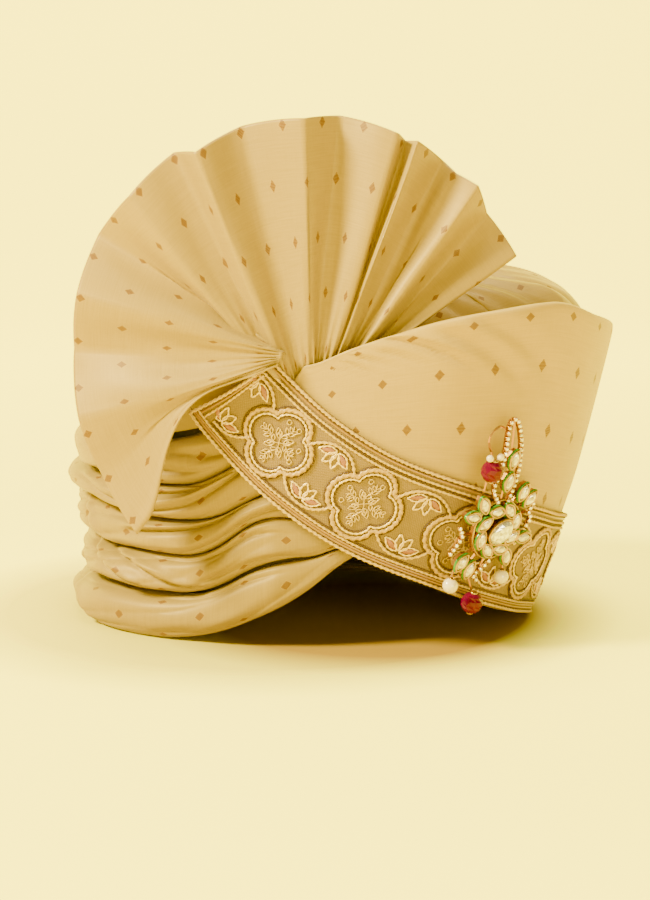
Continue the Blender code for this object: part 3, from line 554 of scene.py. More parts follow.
# %% [markdown]
# The border is a sheer gold ribbon stitched over the panel's lower edge. Places on it
# are given as metres along its lower edge and metres up across it, so that ribbon,
# cords and leaves all follow the same curved strip.

# %% Border ribbon
BORDER_ENDS = (78.0, -89.5)
BORDER_SLANT = 10 * MM
RULER_BEARINGS = np.linspace(*BORDER_ENDS, 600)


def border_climb(bearing):
    run = math.radians(2) * skin_radius(bearing, border_foot(bearing))
    return np.arctan((border_foot(bearing + 1) - border_foot(bearing - 1)) / run)


ruler_foot = border_foot(RULER_BEARINGS)
RULER = run_of(polar(RULER_BEARINGS, skin_radius(RULER_BEARINGS, ruler_foot), ruler_foot))
BORDER_LENGTH = float(RULER[-1])


def on_border(along_it, across, lift):
    """A point on the border, lifted off its face."""
    bearing = np.interp(along_it, RULER, RULER_BEARINGS)
    climb = border_climb(bearing)
    foot = border_foot(bearing)
    height = foot + across * np.cos(climb)
    shift = across * np.sin(climb) / skin_radius(bearing, foot)
    place = bearing - np.degrees(shift)
    return polar(place, skin_radius(place, height) + lift, height)


def ribbon_place(u, v):
    pucker = 0.25 * MM * ripple(u * 60, v * 9, 21)
    start = BORDER_SLANT * v
    return on_border(between(start, BORDER_LENGTH, u), v * BORDER_WIDTH, pucker - 0.3 * MM)


ribbon = cloth("border_ribbon", 260, 30, ribbon_place, BORDER_LENGTH, BORDER_WIDTH)
walled(ribbon, THIN_WALL)
seat(ribbon, "gold_embroidery", "border_band")

# %% [markdown]
# The fan is one strip of starched silk folded into pleats. They are pinched together at
# the knot and spread at the rim. The table gives each fold's angle, how far it stands
# forward, and its reach; the folds are crisp at the rim and softer at the root.

# %% Fan of pleats
FAN_RADIUS = 110.5 * MM
FAN_WALL = 1.8 * MM
PLEAT_DEPTH = 8.5 * MM
FAN_BEND = 260 * MM
FAN_LEAN = 620 * MM
CURL_START = 0.28
CURL_RUN = 0.65
STEPS_A_PLEAT = 12

Fold = namedtuple("Fold", "angle depth reach curl")
FOLDS = (
    Fold(26.8, 0.5, 0.960, 0),
    Fold(39.3, -0.7, 0.955, 0),
    Fold(46.0, 0.9, 1.000, 0),
    Fold(51.7, -0.1, 0.980, 0),
    Fold(55.9, -0.8, 0.990, 0),
    Fold(63.6, 1.0, 1.005, 0),
    Fold(66.0, -0.2, 0.985, 0),
    Fold(68.2, 0.8, 1.000, 0),
    Fold(82.4, -0.8, 1.010, 0),
    Fold(90.5, 0.9, 0.990, 0),
    Fold(105.5, -0.9, 0.995, 0),
    Fold(117.6, 1.0, 0.965, 0),
    Fold(122.4, -0.5, 1.010, 0),
    Fold(136.6, 0.8, 0.990, 0),
    Fold(149.0, -1.0, 1.005, 0),
    Fold(163.3, 0.8, 0.980, 0),
    Fold(176.9, -0.8, 0.965, 0),
    Fold(193.9, 0.6, 0.965, 0),
    Fold(209.1, -0.1, 0.965, 12),
    Fold(225.0, 0.3, 0.985, 25),
)
Root = namedtuple("Root", "angle across rise front")
ROOTS = (
    Root(26, 0.19, -0.55, 0.0),
    Root(80, 0.05, -0.90, 0.0),
    Root(110, -0.03, -2.30, 0.0),
    Root(136, -0.10, -1.60, 0.0),
    Root(150, -0.085, 0.95, 0.15),
    Root(165, -0.095, 1.05, 0.70),
    Root(180, -0.10, 0.75, 1.0),
    Root(226, -0.115, 0.25, 1.0),
)


def knot():
    height = float(panel_top(KNOT_BEARING))
    inner = float(panel_radius(KNOT_BEARING, height - FAN_TUCK) - fold_depth(KNOT_BEARING))
    return inner - PANEL_WALL - LAYER_GAP, height


def fan_place(u, v):
    behind, knot_height = knot()
    right = np.array([math.cos(math.radians(FAN_BEARING)), -math.sin(math.radians(FAN_BEARING)), 0])
    out = np.array([-math.sin(math.radians(FAN_BEARING)), -math.cos(math.radians(FAN_BEARING)), 0])
    knot_across = -behind * math.sin(math.radians(KNOT_TURN))
    pleats = len(FOLDS) - 1
    k = np.minimum((u * pleats).astype(int), pleats - 1)
    s = u * pleats - k
    table = np.array(FOLDS)
    soft = between(0.62, 0.30, v)
    eased = s - soft * np.sin(math.tau * s) / math.tau
    angle = between(table[k, 0], table[k + 1, 0], s)
    depth = between(table[k, 1], table[k + 1, 1], eased)
    reach = between(table[k, 2], table[k + 1, 2], s)
    curl = between(table[k, 3], table[k + 1, 3], s)
    turn = np.radians(angle - curl * (1 - smooth((v - CURL_START) / CURL_RUN)))
    root_across = knot_across + FAN_RADIUS * along(ROOTS, "across", angle)
    root_height = knot_height + FAN_TUCK * along(ROOTS, "rise", angle)
    rim_across = knot_across + FAN_RADIUS * reach * np.cos(turn)
    rim_height = knot_height + FAN_RADIUS * reach * np.sin(turn)
    sway = 1.5 * MM * np.sin(np.pi * v) * ripple(k * 1.7, v * 2.4, 17)
    across = between(root_across, rim_across, v) - sway * np.sin(turn)
    height = between(root_height, rim_height, v) + sway * np.cos(turn)
    front_step = PANEL_WALL + BORDER_WALL + FAN_WALL + 4 * LAYER_GAP
    forward = behind + front_step * along(ROOTS, "front", angle)
    forward = forward + PLEAT_DEPTH * depth * v**0.72
    forward = forward - (across - knot_across) ** 2 / (2 * FAN_BEND)
    forward = forward - np.maximum(0.0, height - knot_height) ** 2 / (2 * FAN_LEAN)
    pinch = np.exp(-v / 0.20) * smooth(v / 0.05)
    forward = forward + 1.1 * MM * pinch * np.sin(angle * 1.1 + 3 * ripple(angle / 20, v * 4, 2))
    dent = ripple(k * 2.3 + s * 2.0, v * 6, 6) * np.sin(np.pi * s) * smooth(v / 0.25)
    forward = forward + 1.0 * MM * dent
    hem = smooth((u * pleats - (pleats - 0.12)) / 0.04) * smooth(v / 0.3)
    forward = forward + 1.0 * MM * hem
    spot = across[:, None] * right + forward[:, None] * out
    return spot + np.array([AXIS_X, AXIS_Y, 0]) + height[:, None] * np.array([0, 0, 1.0])


def rim_length(u):
    """Metres of cloth along the rim, from the first fold."""
    steps = np.linspace(0, 1, 400)
    return np.interp(u, steps, run_of(fan_place(steps, np.ones(400))))


FAN_CLOTH = float(rim_length(1.0))
fan = cloth(
    "fan_silk",
    (len(FOLDS) - 1) * STEPS_A_PLEAT,
    90,
    fan_place,
    FAN_CLOTH,
    FAN_RADIUS,
    flat=lambda u, v: (rim_length(u), v * FAN_RADIUS),
)
walled(fan, THIN_WALL)
seat(fan, "cream_silk", "fan")
print("fan cloth along the rim", round(FAN_CLOTH, 3), "m")

# %% [markdown]
# The crown is loose silk gathered behind the fan's root and tucked in all round. Its
# folds run out from there. The grid is laid in rings round that point and closed there.

# %% Gathered crown
CROWN_TOP = 172 * MM
CROWN_WALL = 2.8 * MM
CROWN_RIM_DROP = 20 * MM
FRONT_FULLNESS = 5.0
BACK_FULLNESS = 3.0
CROWN_FOCUS = 45 * MM
GATHERED = 24
SEAT_GAP = 0.5 * MM
CROWN_PUFF = 4.0 * MM
PUFF_BEARING = 40


def fan_back(bearing):
    behind, _ = knot()
    flat = behind - PLEAT_DEPTH - FAN_WALL - LAYER_GAP
    turn = np.radians(bearing - FAN_BEARING)
    curve = np.maximum(np.sin(turn) ** 2 / (2 * FAN_BEND), 1e-4)
    met = (np.sqrt(np.cos(turn) ** 2 + 4 * curve * flat) - np.cos(turn)) / (2 * curve)
    return np.where(np.cos(turn) < 0.3, 2 * flat, met)


def crown_rim(bearing):
    signed = signed_bearing(bearing)
    panel_height = panel_top(signed) - CROWN_RIM_DROP
    inside = panel_radius(signed, panel_height) - PANEL_WALL - LAYER_GAP - SEAT_GAP
    inside = np.minimum(inside, fan_back(signed))
    whole = bearing % 360
    roll_height = seam("top", whole) + SEAT_GAP + CROWN_WALL / 2 + 1 * MM
    thickness = ROLL_THICKNESS * along(SEAMS, "thickness", whole)
    outside = cap_side(bearing) + 0.80 * thickness
    behind = np.where(signed > 0, smooth((signed - 62) / 26), smooth((-signed - 92) / 24))
    radius = np.minimum(between(inside, outside, behind), fan_back(signed))
    return radius, between(panel_height, roll_height, behind), between(FRONT_FULLNESS, BACK_FULLNESS, behind)


def crown_place(u, v):
    bearing = 360 * u
    turn = math.radians(FAN_BEARING)
    focus = np.array([-CROWN_FOCUS * math.sin(turn), -CROWN_FOCUS * math.cos(turn)])
    radius = crown_rim(bearing)[0]
    edge = np.stack((-radius * np.sin(np.radians(bearing)), -radius * np.cos(np.radians(bearing))), axis=-1)
    flat = focus + (edge - focus) * v[:, None]
    own = np.degrees(np.arctan2(-flat[:, 0], -flat[:, 1]))
    own_rim, rim_at, fullness = crown_rim(own)
    share = np.minimum(1.0, np.hypot(flat[:, 0], flat[:, 1]) / own_rim)
    height = between(rim_at, CROWN_TOP, np.sqrt(np.maximum(0.0, 1 - share**fullness)))
    drift = bearing / 360 * GATHERED + 0.9 * ripple(v * 3, 2.6 * np.sin(np.radians(bearing)), 31)
    big = fold(drift, 0.60)
    weight = 0.55 + 0.45 * ripple(3 * np.cos(np.radians(bearing)), 3 * np.sin(np.radians(bearing)), 32)
    small = fold(1.7 * drift + 1.2 * ripple(v * 5, 4 * np.cos(np.radians(bearing)), 33), 0.7)
    grow = smooth(v * 2.0) * smooth((1 - v) * 9)
    beside = np.exp(-(((signed_bearing(own) + PUFF_BEARING) / 45) ** 2))
    puff = CROWN_PUFF * beside * smooth((1 - share) * 8) * smooth(v * 2)
    height = height + puff - (6.0 * MM * (1 - big) * weight + 1.0 * MM * (1 - small)) * grow
    return np.stack((AXIS_X + flat[:, 0], AXIS_Y + flat[:, 1], height), axis=-1)


def crown_flat(u, v):
    """The cloth laid out flat from the gather's middle: the way out, then the way down."""
    spots = crown_place(u, v)
    turn = math.radians(FAN_BEARING)
    east = spots[:, 0] - AXIS_X + CROWN_FOCUS * math.sin(turn)
    north = spots[:, 1] - AXIS_Y + CROWN_FOCUS * math.cos(turn)
    out = np.maximum(np.hypot(east, north), 1e-4)
    spread = (out + 0.9 * np.maximum(0, CROWN_TOP - spots[:, 2])) / out
    return east * spread, north * spread


crown = cloth("crown_silk", 480, 62, crown_place, 1, 1, wrap=True, fill=False, flat=crown_flat)
walled(crown, SILK_WALL)
seat(crown, "cream_silk", "crown")

# %% [markdown]
# The cap is stiffened cloth. It shows only from below, so it is one closed dome whose
# grid runs from the outer top down to the rim and back up the inside, where a tape is
# sewn round the edge. The rim follows the lower edge of the cloth that covers it.

# %% Cap
CAP_WALL = 2.5 * MM
SHOULDER_AT = 0.62
RIM_LIFT = 3 * MM
TAPE_WALL = 0.5 * MM


def rim_height(bearing):
    rolled = (bearing > ROLL_START + 8) & (bearing < ROLL_END - 8)
    signed = signed_bearing(bearing)
    return np.where(rolled, seam("floor", bearing), border_foot(signed)) + RIM_LIFT


def cap_place(u, v):
    bearing = 360 * u % 360
    reach = 1 - np.abs(2 * v - 1)
    inset = CAP_WALL * smooth((v - 0.48) / 0.04)
    tape = smooth((reach - 0.84) / 0.02) * (v > 0.52) * (1 + 0.25 * np.sin(np.radians(72 * bearing)))
    turn = np.minimum(reach / SHOULDER_AT, 1) * math.pi / 2
    radius = (cap_side(bearing) - inset - TAPE_WALL * tape) * power(np.sin(turn), 2 / CAP_ROUNDNESS)
    domed = between(CAP_SHOULDER, CAP_TOP - inset, power(np.maximum(np.cos(turn), 0), 2 / CAP_ROUNDNESS))
    down = np.clip((reach - SHOULDER_AT) / (1 - SHOULDER_AT), 0, 1)
    height = np.where(reach < SHOULDER_AT, domed, between(CAP_SHOULDER, rim_height(bearing), down))
    return polar(bearing, radius, height)


lining = cloth("cap_lining", 144, 80, cap_place, 0.58, 0.30, wrap=True)
seat(lining, "cream_silk", "cap")

# %% [markdown]
# The embroidery is couched cord: two threads twisted together and stitched down along
# the drawing. A cord is an oval swept along its line and turned as it goes, which gives
# the slanting strands. The drawing is made flat, in metres, and then laid on the border.

# %% Twisted cords
STRANDS = 6
STRAND_TURN = math.pi / 4.6

Cord = namedtuple("Cord", "width height step")
EDGE_ROPE = Cord(2.0 * MM, 1.5 * MM, 0.62 * MM)
INNER_ROPE = Cord(1.6 * MM, 1.2 * MM, 0.55 * MM)
SATIN_STRIP = Cord(1.2 * MM, 0.7 * MM, 1.5 * MM)
THICK_CORD = Cord(2.7 * MM, 1.5 * MM, 0.66 * MM)
BRIGHT_CORD = Cord(1.35 * MM, 1.2 * MM, 0.50 * MM)
ARC_CORD = Cord(1.9 * MM, 1.3 * MM, 0.58 * MM)
LEAF_CORD = Cord(1.15 * MM, 1.0 * MM, 0.52 * MM)
FINE_THREAD = Cord(0.72 * MM, 0.65 * MM, 0.55 * MM)
STITCHES = Cord(0.75 * MM, 0.7 * MM, 0.58 * MM)


def resampled(points, step):
    points = np.asarray(points, float)
    run = run_of(points)
    at = np.linspace(0, run[-1], max(3, int(run[-1] / step) + 1))
    return np.stack([np.interp(at, run, points[:, k]) for k in range(points.shape[1])], axis=-1)


def unit(rows):
    return rows / np.maximum(np.linalg.norm(rows, axis=1), 1e-9)[:, None]


def lay_cord(shape, drawing, cord, twist=STRAND_TURN):
    """Adds one cord to a shape, along a flat drawing on the border."""
    flat = resampled(drawing, cord.step)
    spots = on_border(flat[:, 0], flat[:, 1], 0.22 * cord.height)
    out = unit(on_border(flat[:, 0], flat[:, 1], 1 * MM) - on_border(flat[:, 0], flat[:, 1], 0.0))
    side = unit(np.cross(np.gradient(spots, axis=0), out))
    rows = len(spots) - 1
    made = bmesh.ops.create_grid(shape, x_segments=STRANDS, y_segments=rows, size=0.5)
    at = spots_of(made["verts"]) + 0.5
    k = np.round(at[:, 1] * rows).astype(int)
    turn = math.tau * at[:, 0]
    strand = k * twist
    x = np.cos(turn) * np.cos(strand) - 0.62 * np.sin(turn) * np.sin(strand)
    y = np.cos(turn) * np.sin(strand) + 0.62 * np.sin(turn) * np.cos(strand)
    placed = spots[k] + side[k] * (x * cord.width / 2)[:, None] + out[k] * (y * cord.height / 2)[:, None]
    place_verts(made["verts"], placed)


def corded(name, drawings, cord, twist=STRAND_TURN):
    """One piece of many cords, each closed at its ends."""
    shape = bmesh.new()
    for drawing in drawings:
        lay_cord(shape, drawing, cord, twist)
    bmesh.ops.remove_doubles(shape, verts=shape.verts, dist=1e-6)
    rims = [edge for edge in shape.edges if edge.is_boundary]
    bmesh.ops.holes_fill(shape, edges=rims, sides=0)
    return seat(piece(name, shape), "gold_embroidery")


def row(across):
    start = BORDER_SLANT * across / BORDER_WIDTH + 0.8 * MM
    steps = np.linspace(start, BORDER_LENGTH - 0.8 * MM, 500)
    return np.stack((steps, np.full(500, across)), axis=-1)


def end_row(inset, low, high):
    """A row that runs up the border's slanting end, by the temple."""
    across = np.linspace(low, high, 90)
    return np.stack((BORDER_SLANT * across / BORDER_WIDTH + inset, across), axis=-1)


edge_rows = [row(0.7 * MM), row(BORDER_WIDTH - 0.7 * MM), end_row(0.9 * MM, 1 * MM, 47 * MM)]
ropes = corded("edge_ropes", edge_rows, EDGE_ROPE)
inner_rows = [row(5.0 * MM), row(BORDER_WIDTH - 4.6 * MM), row(BORDER_WIDTH - 7.0 * MM)]
inner_rows.append(end_row(5.6 * MM, 6 * MM, 41 * MM))
inner_ropes = corded("inner_ropes", inner_rows, INNER_ROPE)
strip_rows = [row(2.4 * MM), row(3.6 * MM), row(BORDER_WIDTH - 2.6 * MM)]
strip_rows.append(end_row(3.0 * MM, 3 * MM, 45 * MM))
strips = corded("satin_strips", strip_rows, SATIN_STRIP, twist=0.0)

# %% [markdown]
# A medallion has four lobes, along and across the border, which meet in small cusps.
# It is drawn by a formula: a circle whose radius swells four times. A thick cord follows
# it and a thin bright one runs inside, with sprigs, crosses and rings in the lobes.
# Between medallions a spray of leaves springs from each edge under a scalloped arc.

# %% Medallions and sprays
FIELD_LOW = 6.6 * MM
FIELD_HIGH = BORDER_WIDTH - 8.0 * MM
MIDDLE = (FIELD_LOW + FIELD_HIGH) / 2
MEDALLION_FIRST = 40.5 * MM
MEDALLION_PITCH = 52 * MM
MEDALLION_REACH = 17.4 * MM
MEDALLION_STRETCH = 1.09
MEDALLION_CUSP = 0.76


def heading(angle):
    return np.array([math.cos(angle), math.sin(angle)])


def medallion(middle, inset):
    turn = np.linspace(0, math.tau, 181)
    lobe = np.abs(np.cos(2 * turn)) ** 0.62
    reach = MEDALLION_REACH * (MEDALLION_CUSP + (1 - MEDALLION_CUSP) * lobe) - inset
    around = np.stack((MEDALLION_STRETCH * np.cos(turn), np.sin(turn)), axis=-1)
    return middle + reach[:, None] * around


def leaf(root, angle, length, width):
    """A pointed leaf drawn as one loop from its root."""
    t = np.linspace(0, 1, 21)
    side = np.sin(np.pi * t**0.85) * width / 2
    out = np.concatenate((t, t[::-1]))[:, None] * length * heading(angle)
    beside = np.concatenate((side, -side[::-1]))[:, None] * heading(angle + math.pi / 2)
    return root + out + beside


def ring(middle, radius):
    turn = np.linspace(0, math.tau, 15)
    return middle + radius * np.stack((np.cos(turn), np.sin(turn)), axis=-1)


Spray = namedtuple("Spray", "turn length filled")
SPRAY = (
    Spray(-68, 8.8 * MM, True),
    Spray(-25, 7.8 * MM, False),
    Spray(16, 7.8 * MM, False),
    Spray(62, 8.8 * MM, True),
)
LEAF_WIDTH = 3.7 * MM

medallion_places = np.arange(MEDALLION_FIRST, BORDER_LENGTH + 10 * MM, MEDALLION_PITCH)
outlines, bright_lines, stitch_lines, sprigs = [], [], [], []
for k, place in enumerate(medallion_places):
    middle = np.array([place, MIDDLE])
    outlines.append(medallion(middle, 0.3 * MM))
    bright_lines.append(medallion(middle, 2.5 * MM))
    stitch_lines += [medallion(middle, -1.25 * MM), medallion(middle, 3.6 * MM)]
    for quarter in range(4):
        angle = math.pi / 2 * quarter
        ahead, beside = heading(angle), heading(angle + math.pi / 2)
        bend = np.linspace(0, 1, 12)[:, None]
        stem = middle + ahead * 10.5 * MM * bend + beside * 1.2 * MM * np.sin(bend * math.tau)
        sprigs.append(stem)
        for side in (-1, 1):
            for share, size in ((0.30, 3.4), (0.55, 3.6), (0.78, 3.0)):
                root = stem[int(share * 11)]
                sprigs.append(leaf(root, angle + side * 0.95, size * MM, 1.5 * MM))
            if quarter in (k % 4, (k + 1) % 4):
                sprigs.append(ring(middle + ahead * 10.4 * MM + beside * side * 3.4 * MM, 1.15 * MM))
            else:
                sprigs.append(leaf(stem[10], angle + side * 0.55, 2.8 * MM, 1.3 * MM))
        cusp = angle + math.pi / 4
        for size in (3.0, 5.4):
            sprigs.append(leaf(middle + 2.2 * MM * heading(cusp), cusp, size * MM, size * 0.45 * MM))

arcs, leaf_lines, filled = [], [], []
first_spray = MEDALLION_FIRST - MEDALLION_PITCH / 2
spray_places = np.concatenate(([first_spray], medallion_places + MEDALLION_PITCH / 2))
for place in spray_places:
    for up in (-1, 1):
        edge = FIELD_LOW if up < 0 else FIELD_HIGH
        t = np.linspace(-1, 1, 41)
        deep = 1.2 * MM + 8.0 * MM * np.abs(t) ** 2.4
        arcs.append(np.stack((place + 14.2 * MM * t, edge - up * deep), axis=-1))
        stitch_lines.append(arcs[-1] - np.array([0, up * 1.3 * MM]))
        root = np.array([place, edge - up * 3.2 * MM])
        for spray in SPRAY:
            angle = -up * math.pi / 2 + math.radians(spray.turn)
            start = root + 0.8 * MM * heading(angle)
            leaf_lines.append(leaf(start, angle, spray.length, LEAF_WIDTH))
            if spray.filled:
                filled.append((start, angle, spray.length))


def inside(lines):
    """The drawings that lie on the border, cut off where they would pass its ends."""
    kept = []
    for line in lines:
        on = (line[:, 0] > BORDER_SLANT + 1 * MM) & (line[:, 0] < BORDER_LENGTH - 2.5 * MM)
        if on.sum() > 5 and (on.all() or on.sum() > 12):
            first, last = np.flatnonzero(on)[[0, -1]]
            kept.append(line[first : last + 1] if on[first : last + 1].all() else line[on][: on.sum() // 2])
    return kept


outline_cords = corded("medallion_cords", inside(outlines), THICK_CORD)
bright_cords = corded("bright_cords", inside(bright_lines), BRIGHT_CORD)
arc_cords = corded("arc_cords", inside(arcs), ARC_CORD)
leaf_cords = corded("leaf_cords", inside(leaf_lines), LEAF_CORD)
sprig_threads = corded("sprig_threads", inside(sprigs), FINE_THREAD)
stitch_lines += [row(6.3 * MM), row(BORDER_WIDTH - 5.8 * MM), row(1.75 * MM), row(BORDER_WIDTH - 1.8 * MM)]
stitches = corded("stitches", inside(stitch_lines), STITCHES, twist=math.pi / 2.4)

# %% [markdown]
# Half of the sprays' leaves are filled with padded satin stitch in a dusty pink. Each
# one is a flattened sphere, pulled to a point at its tip, laid inside its cord.

# %% Satin leaves
leaf_shape = bmesh.new()
for start, angle, length in filled:
    if not BORDER_SLANT + 2 * MM < start[0] < BORDER_LENGTH - 9 * MM:
        continue
    made = bmesh.ops.create_uvsphere(leaf_shape, u_segments=12, v_segments=6, radius=0.5)
    spots = spots_of(made["verts"])
    share = spots[:, 0] + 0.5
    narrow = np.sin(np.pi * np.clip(share, 0.02, 0.98) ** 0.85) ** 0.4
    ahead = (0.10 + 0.80 * share) * length
    beside = spots[:, 1] * 0.68 * LEAF_WIDTH * narrow
    flat = start + ahead[:, None] * heading(angle) + beside[:, None] * heading(angle + math.pi / 2)
    laid = on_border(flat[:, 0], flat[:, 1], spots[:, 2] * 1.1 * MM + 0.1 * MM)
    place_verts(made["verts"], laid)
satin_leaves = seat(piece("satin_leaves", leaf_shape), "gold_embroidery")

# %% [markdown]
# A brooch of polki, flat uncut stones in gold cups, is pinned over the brow. It has its
# own small frame: across, up along the leaning panel, and out of it.

# %% The brooch's frame
BROOCH_BEARING = 6.0
BROOCH_HEIGHT = 58.5 * MM
BROOCH_STAND = 3.0 * MM
PLATE_THICKNESS = 1.4 * MM
CUP_DEPTH = 1.8 * MM
STONE_GAP = 0.3 * MM
PETAL_LENGTH = 8.2 * MM
PETAL_WIDTH = 4.5 * MM
INNER_RING = 10.4 * MM
OUTER_REACH = 20.0 * MM
PLUME_HEIGHT = 55 * MM
PLUME_WIDTH = 10.5 * MM
CRYSTAL = 2.5 * MM


def brooch_frame():
    low, high = (
        Vector(polar(BROOCH_BEARING, float(skin_radius(BROOCH_BEARING, z)), z))
        for z in (BROOCH_HEIGHT - 4 * MM, BROOCH_HEIGHT + 4 * MM)
    )
    up = (high - low).normalized()
    turn = math.radians(BROOCH_BEARING)
    across = Vector((math.cos(turn), -math.sin(turn), 0))
    out = across.cross(up)
    made = Matrix((across, up, out)).transposed().to_4x4()
    made.translation = (low + high) / 2 + out * BROOCH_STAND
    return made


BROOCH = brooch_frame()
print("brooch stands at", [round(c, 3) for c in BROOCH.translation])

# %% [markdown]
# Each petal is a flat uncut stone in a pointed gold cup with a line of green enamel
# round it. A rim is a small tube that follows the pointed oval: its grid closes on
# itself both ways. The stones are low domes with facets that catch the light.

# %% Stones and their cups
Petal = namedtuple("Petal", "angle reach turn")
OUTER_PETALS = (
    Petal(60, 1.05, 68),
    Petal(42, 1.07, 50),
    Petal(132, 0.95, 118),
    Petal(154, 1.00, 170),
    Petal(-18, 0.90, 5),
    Petal(-58, 0.84, -78),
    Petal(216, 1.17, 235),
    Petal(234, 1.12, 246),
)
INNER_PETALS = 8
PLUME_STONES = (0.445, 0.645)
CENTRE_LENGTH = 14.0 * MM
CENTRE_WIDTH = 10.5 * MM
CENTRE_TURN = 35
STONE_BASE = PLATE_THICKNESS + CUP_DEPTH + STONE_GAP
POINTED = 0.35
CUP_TUBE = 1.25 * MM
ENAMEL_TUBE = 0.5 * MM
PETAL_DEPTH = 1.5 * MM
CENTRE_DEPTH = 2.9 * MM

Setting = namedtuple("Setting", "across up turn")
settings = []
for k in range(INNER_PETALS):
    angle = 360 * k / INNER_PETALS + 20
    spot = INNER_RING * heading(math.radians(angle))
    settings.append(Setting(spot[0], spot[1], angle + 62))
for petal in OUTER_PETALS:
    spot = OUTER_REACH * petal.reach * heading(math.radians(petal.angle))
    settings.append(Setting(spot[0], spot[1], petal.turn))
for share in PLUME_STONES:
    settings.append(Setting(-0.05 * PLUME_WIDTH, PLUME_HEIGHT * share, 78))


def on_brooch(points, setting):
    """Points given about a setting, placed on the turban."""
    turn = math.radians(setting.turn)
    x = points[:, 0] * math.cos(turn) - points[:, 1] * math.sin(turn) + setting.across
    y = points[:, 0] * math.sin(turn) + points[:, 1] * math.cos(turn) + setting.up
    matrix = np.array(BROOCH)
    return np.stack((x, y, points[:, 2]), axis=-1) @ matrix[:3, :3].T + matrix[:3, 3]


def rim(shape, setting, length, width, pointed, tube, rise, height):
    """A closed tube round a pointed oval: tube is its breadth, rise and height its place."""
    around, section = 36, 8
    made = bmesh.ops.create_grid(shape, x_segments=around, y_segments=section, size=0.5)
    at = spots_of(made["verts"]) + 0.5
    turn, spin = math.tau * at[:, 0], math.tau * at[:, 1]
    narrow = 1 - pointed * np.cos(turn) ** 2
    reach = tube / 2 * power(np.cos(spin), 0.8)
    x = (length / 2 + reach) * np.cos(turn)
    y = (width / 2 + reach) * np.sin(turn) * narrow
    z = rise + height / 2 * power(np.sin(spin), 0.8)
    place_verts(made["verts"], on_brooch(np.stack((x, y, z), axis=-1), setting))


def cut_stone(shape, setting, length, width, pointed, depth, sides, base=STONE_BASE):
    """A faceted dome: rings that step in and turn by half a side, closed underneath."""
    made = bmesh.ops.create_uvsphere(shape, u_segments=sides, v_segments=8, radius=1.0)
    spots = spots_of(made["verts"])
    level = np.round(np.arcsin(np.clip(spots[:, 2], -1, 1)) / (math.pi / 8))
    turn = np.arctan2(spots[:, 1], spots[:, 0]) + math.pi / sides * (level % 2)
    reach = np.interp(level, (-4, -3, -1, 0, 1, 2, 3, 4), (0, 0.75, 0.97, 1.0, 0.92, 0.72, 0.48, 0))
    rise = np.interp(level, (-4, -1, 0, 1, 2, 3, 4), (0, 0, 0.18, 0.48, 0.80, 0.98, 1.0))
    narrow = 1 - pointed * np.cos(turn) ** 2
    x = length / 2 * reach * np.cos(turn)
    y = width / 2 * reach * np.sin(turn) * narrow
    place_verts(made["verts"], on_brooch(np.stack((x, y, base + rise * depth), axis=-1), setting))


def jewel(name, shape, slot, *nodes, smooth_faces=True):
    bmesh.ops.remove_doubles(shape, verts=shape.verts, dist=1e-6)
    made = piece(name, shape)
    if not smooth_faces:
        made.data.shade_flat()
    return seat(made, slot, *nodes)


cups, enamel, petals = bmesh.new(), bmesh.new(), bmesh.new()
centre = Setting(0, 0, CENTRE_TURN)
for setting in settings:
    length, width = PETAL_LENGTH, PETAL_WIDTH
    low, high = STONE_BASE - 0.4 * MM, STONE_BASE + 0.1 * MM
    rim(cups, setting, length * 1.10, width * 1.16, POINTED, CUP_TUBE, high, 1.5 * MM)
    rim(enamel, setting, length * 1.25, width * 1.46, POINTED, ENAMEL_TUBE, low, 1.3 * MM)
    cut_stone(petals, setting, length * 0.90, width * 0.92, POINTED, PETAL_DEPTH, 10)
length, width = CENTRE_LENGTH, CENTRE_WIDTH
rim(cups, centre, length * 1.03, width * 1.04, 0.0, 0.9 * MM, STONE_BASE + 1.6 * MM, 1.5 * MM)
rim(cups, Setting(0, 0, 0), 27.4 * MM, 29.4 * MM, 0.0, 1.2 * MM, 1.1 * MM, 2.0 * MM)
rim(cups, Setting(0, 0, 0), 17.2 * MM, 16.4 * MM, 0.0, 0.8 * MM, 2.2 * MM, 1.6 * MM)
middle_stone = bmesh.new()
length, width = CENTRE_LENGTH * 0.97, CENTRE_WIDTH * 0.97
cut_stone(middle_stone, centre, length, width, 0.0, CENTRE_DEPTH, 16, STONE_BASE + CUP_DEPTH)
gold_cups = jewel("gold_cups", cups, "rose_gold")
green_enamel = jewel("green_enamel", enamel, "rose_gold")
petal_names = [f"inner_petal_{k + 1}" for k in range(INNER_PETALS)]
petal_names += [f"outer_petal_{k + 1}" for k in range(len(OUTER_PETALS))]
petal_names += [f"plume_stone_{k + 1}" for k in range(len(PLUME_STONES))]
petal_stones = jewel("petal_stones", petals, "crystal", *petal_names, smooth_faces=False)
centre_stone = jewel("centre_polki", middle_stone, "crystal", "centre_stone", smooth_faces=False)

# %% [markdown]
# Rows of small round crystals edge the plume and fill the gaps. Each crystal sits in its
# own little cup with four claws, so a row is a loop along a smooth line.

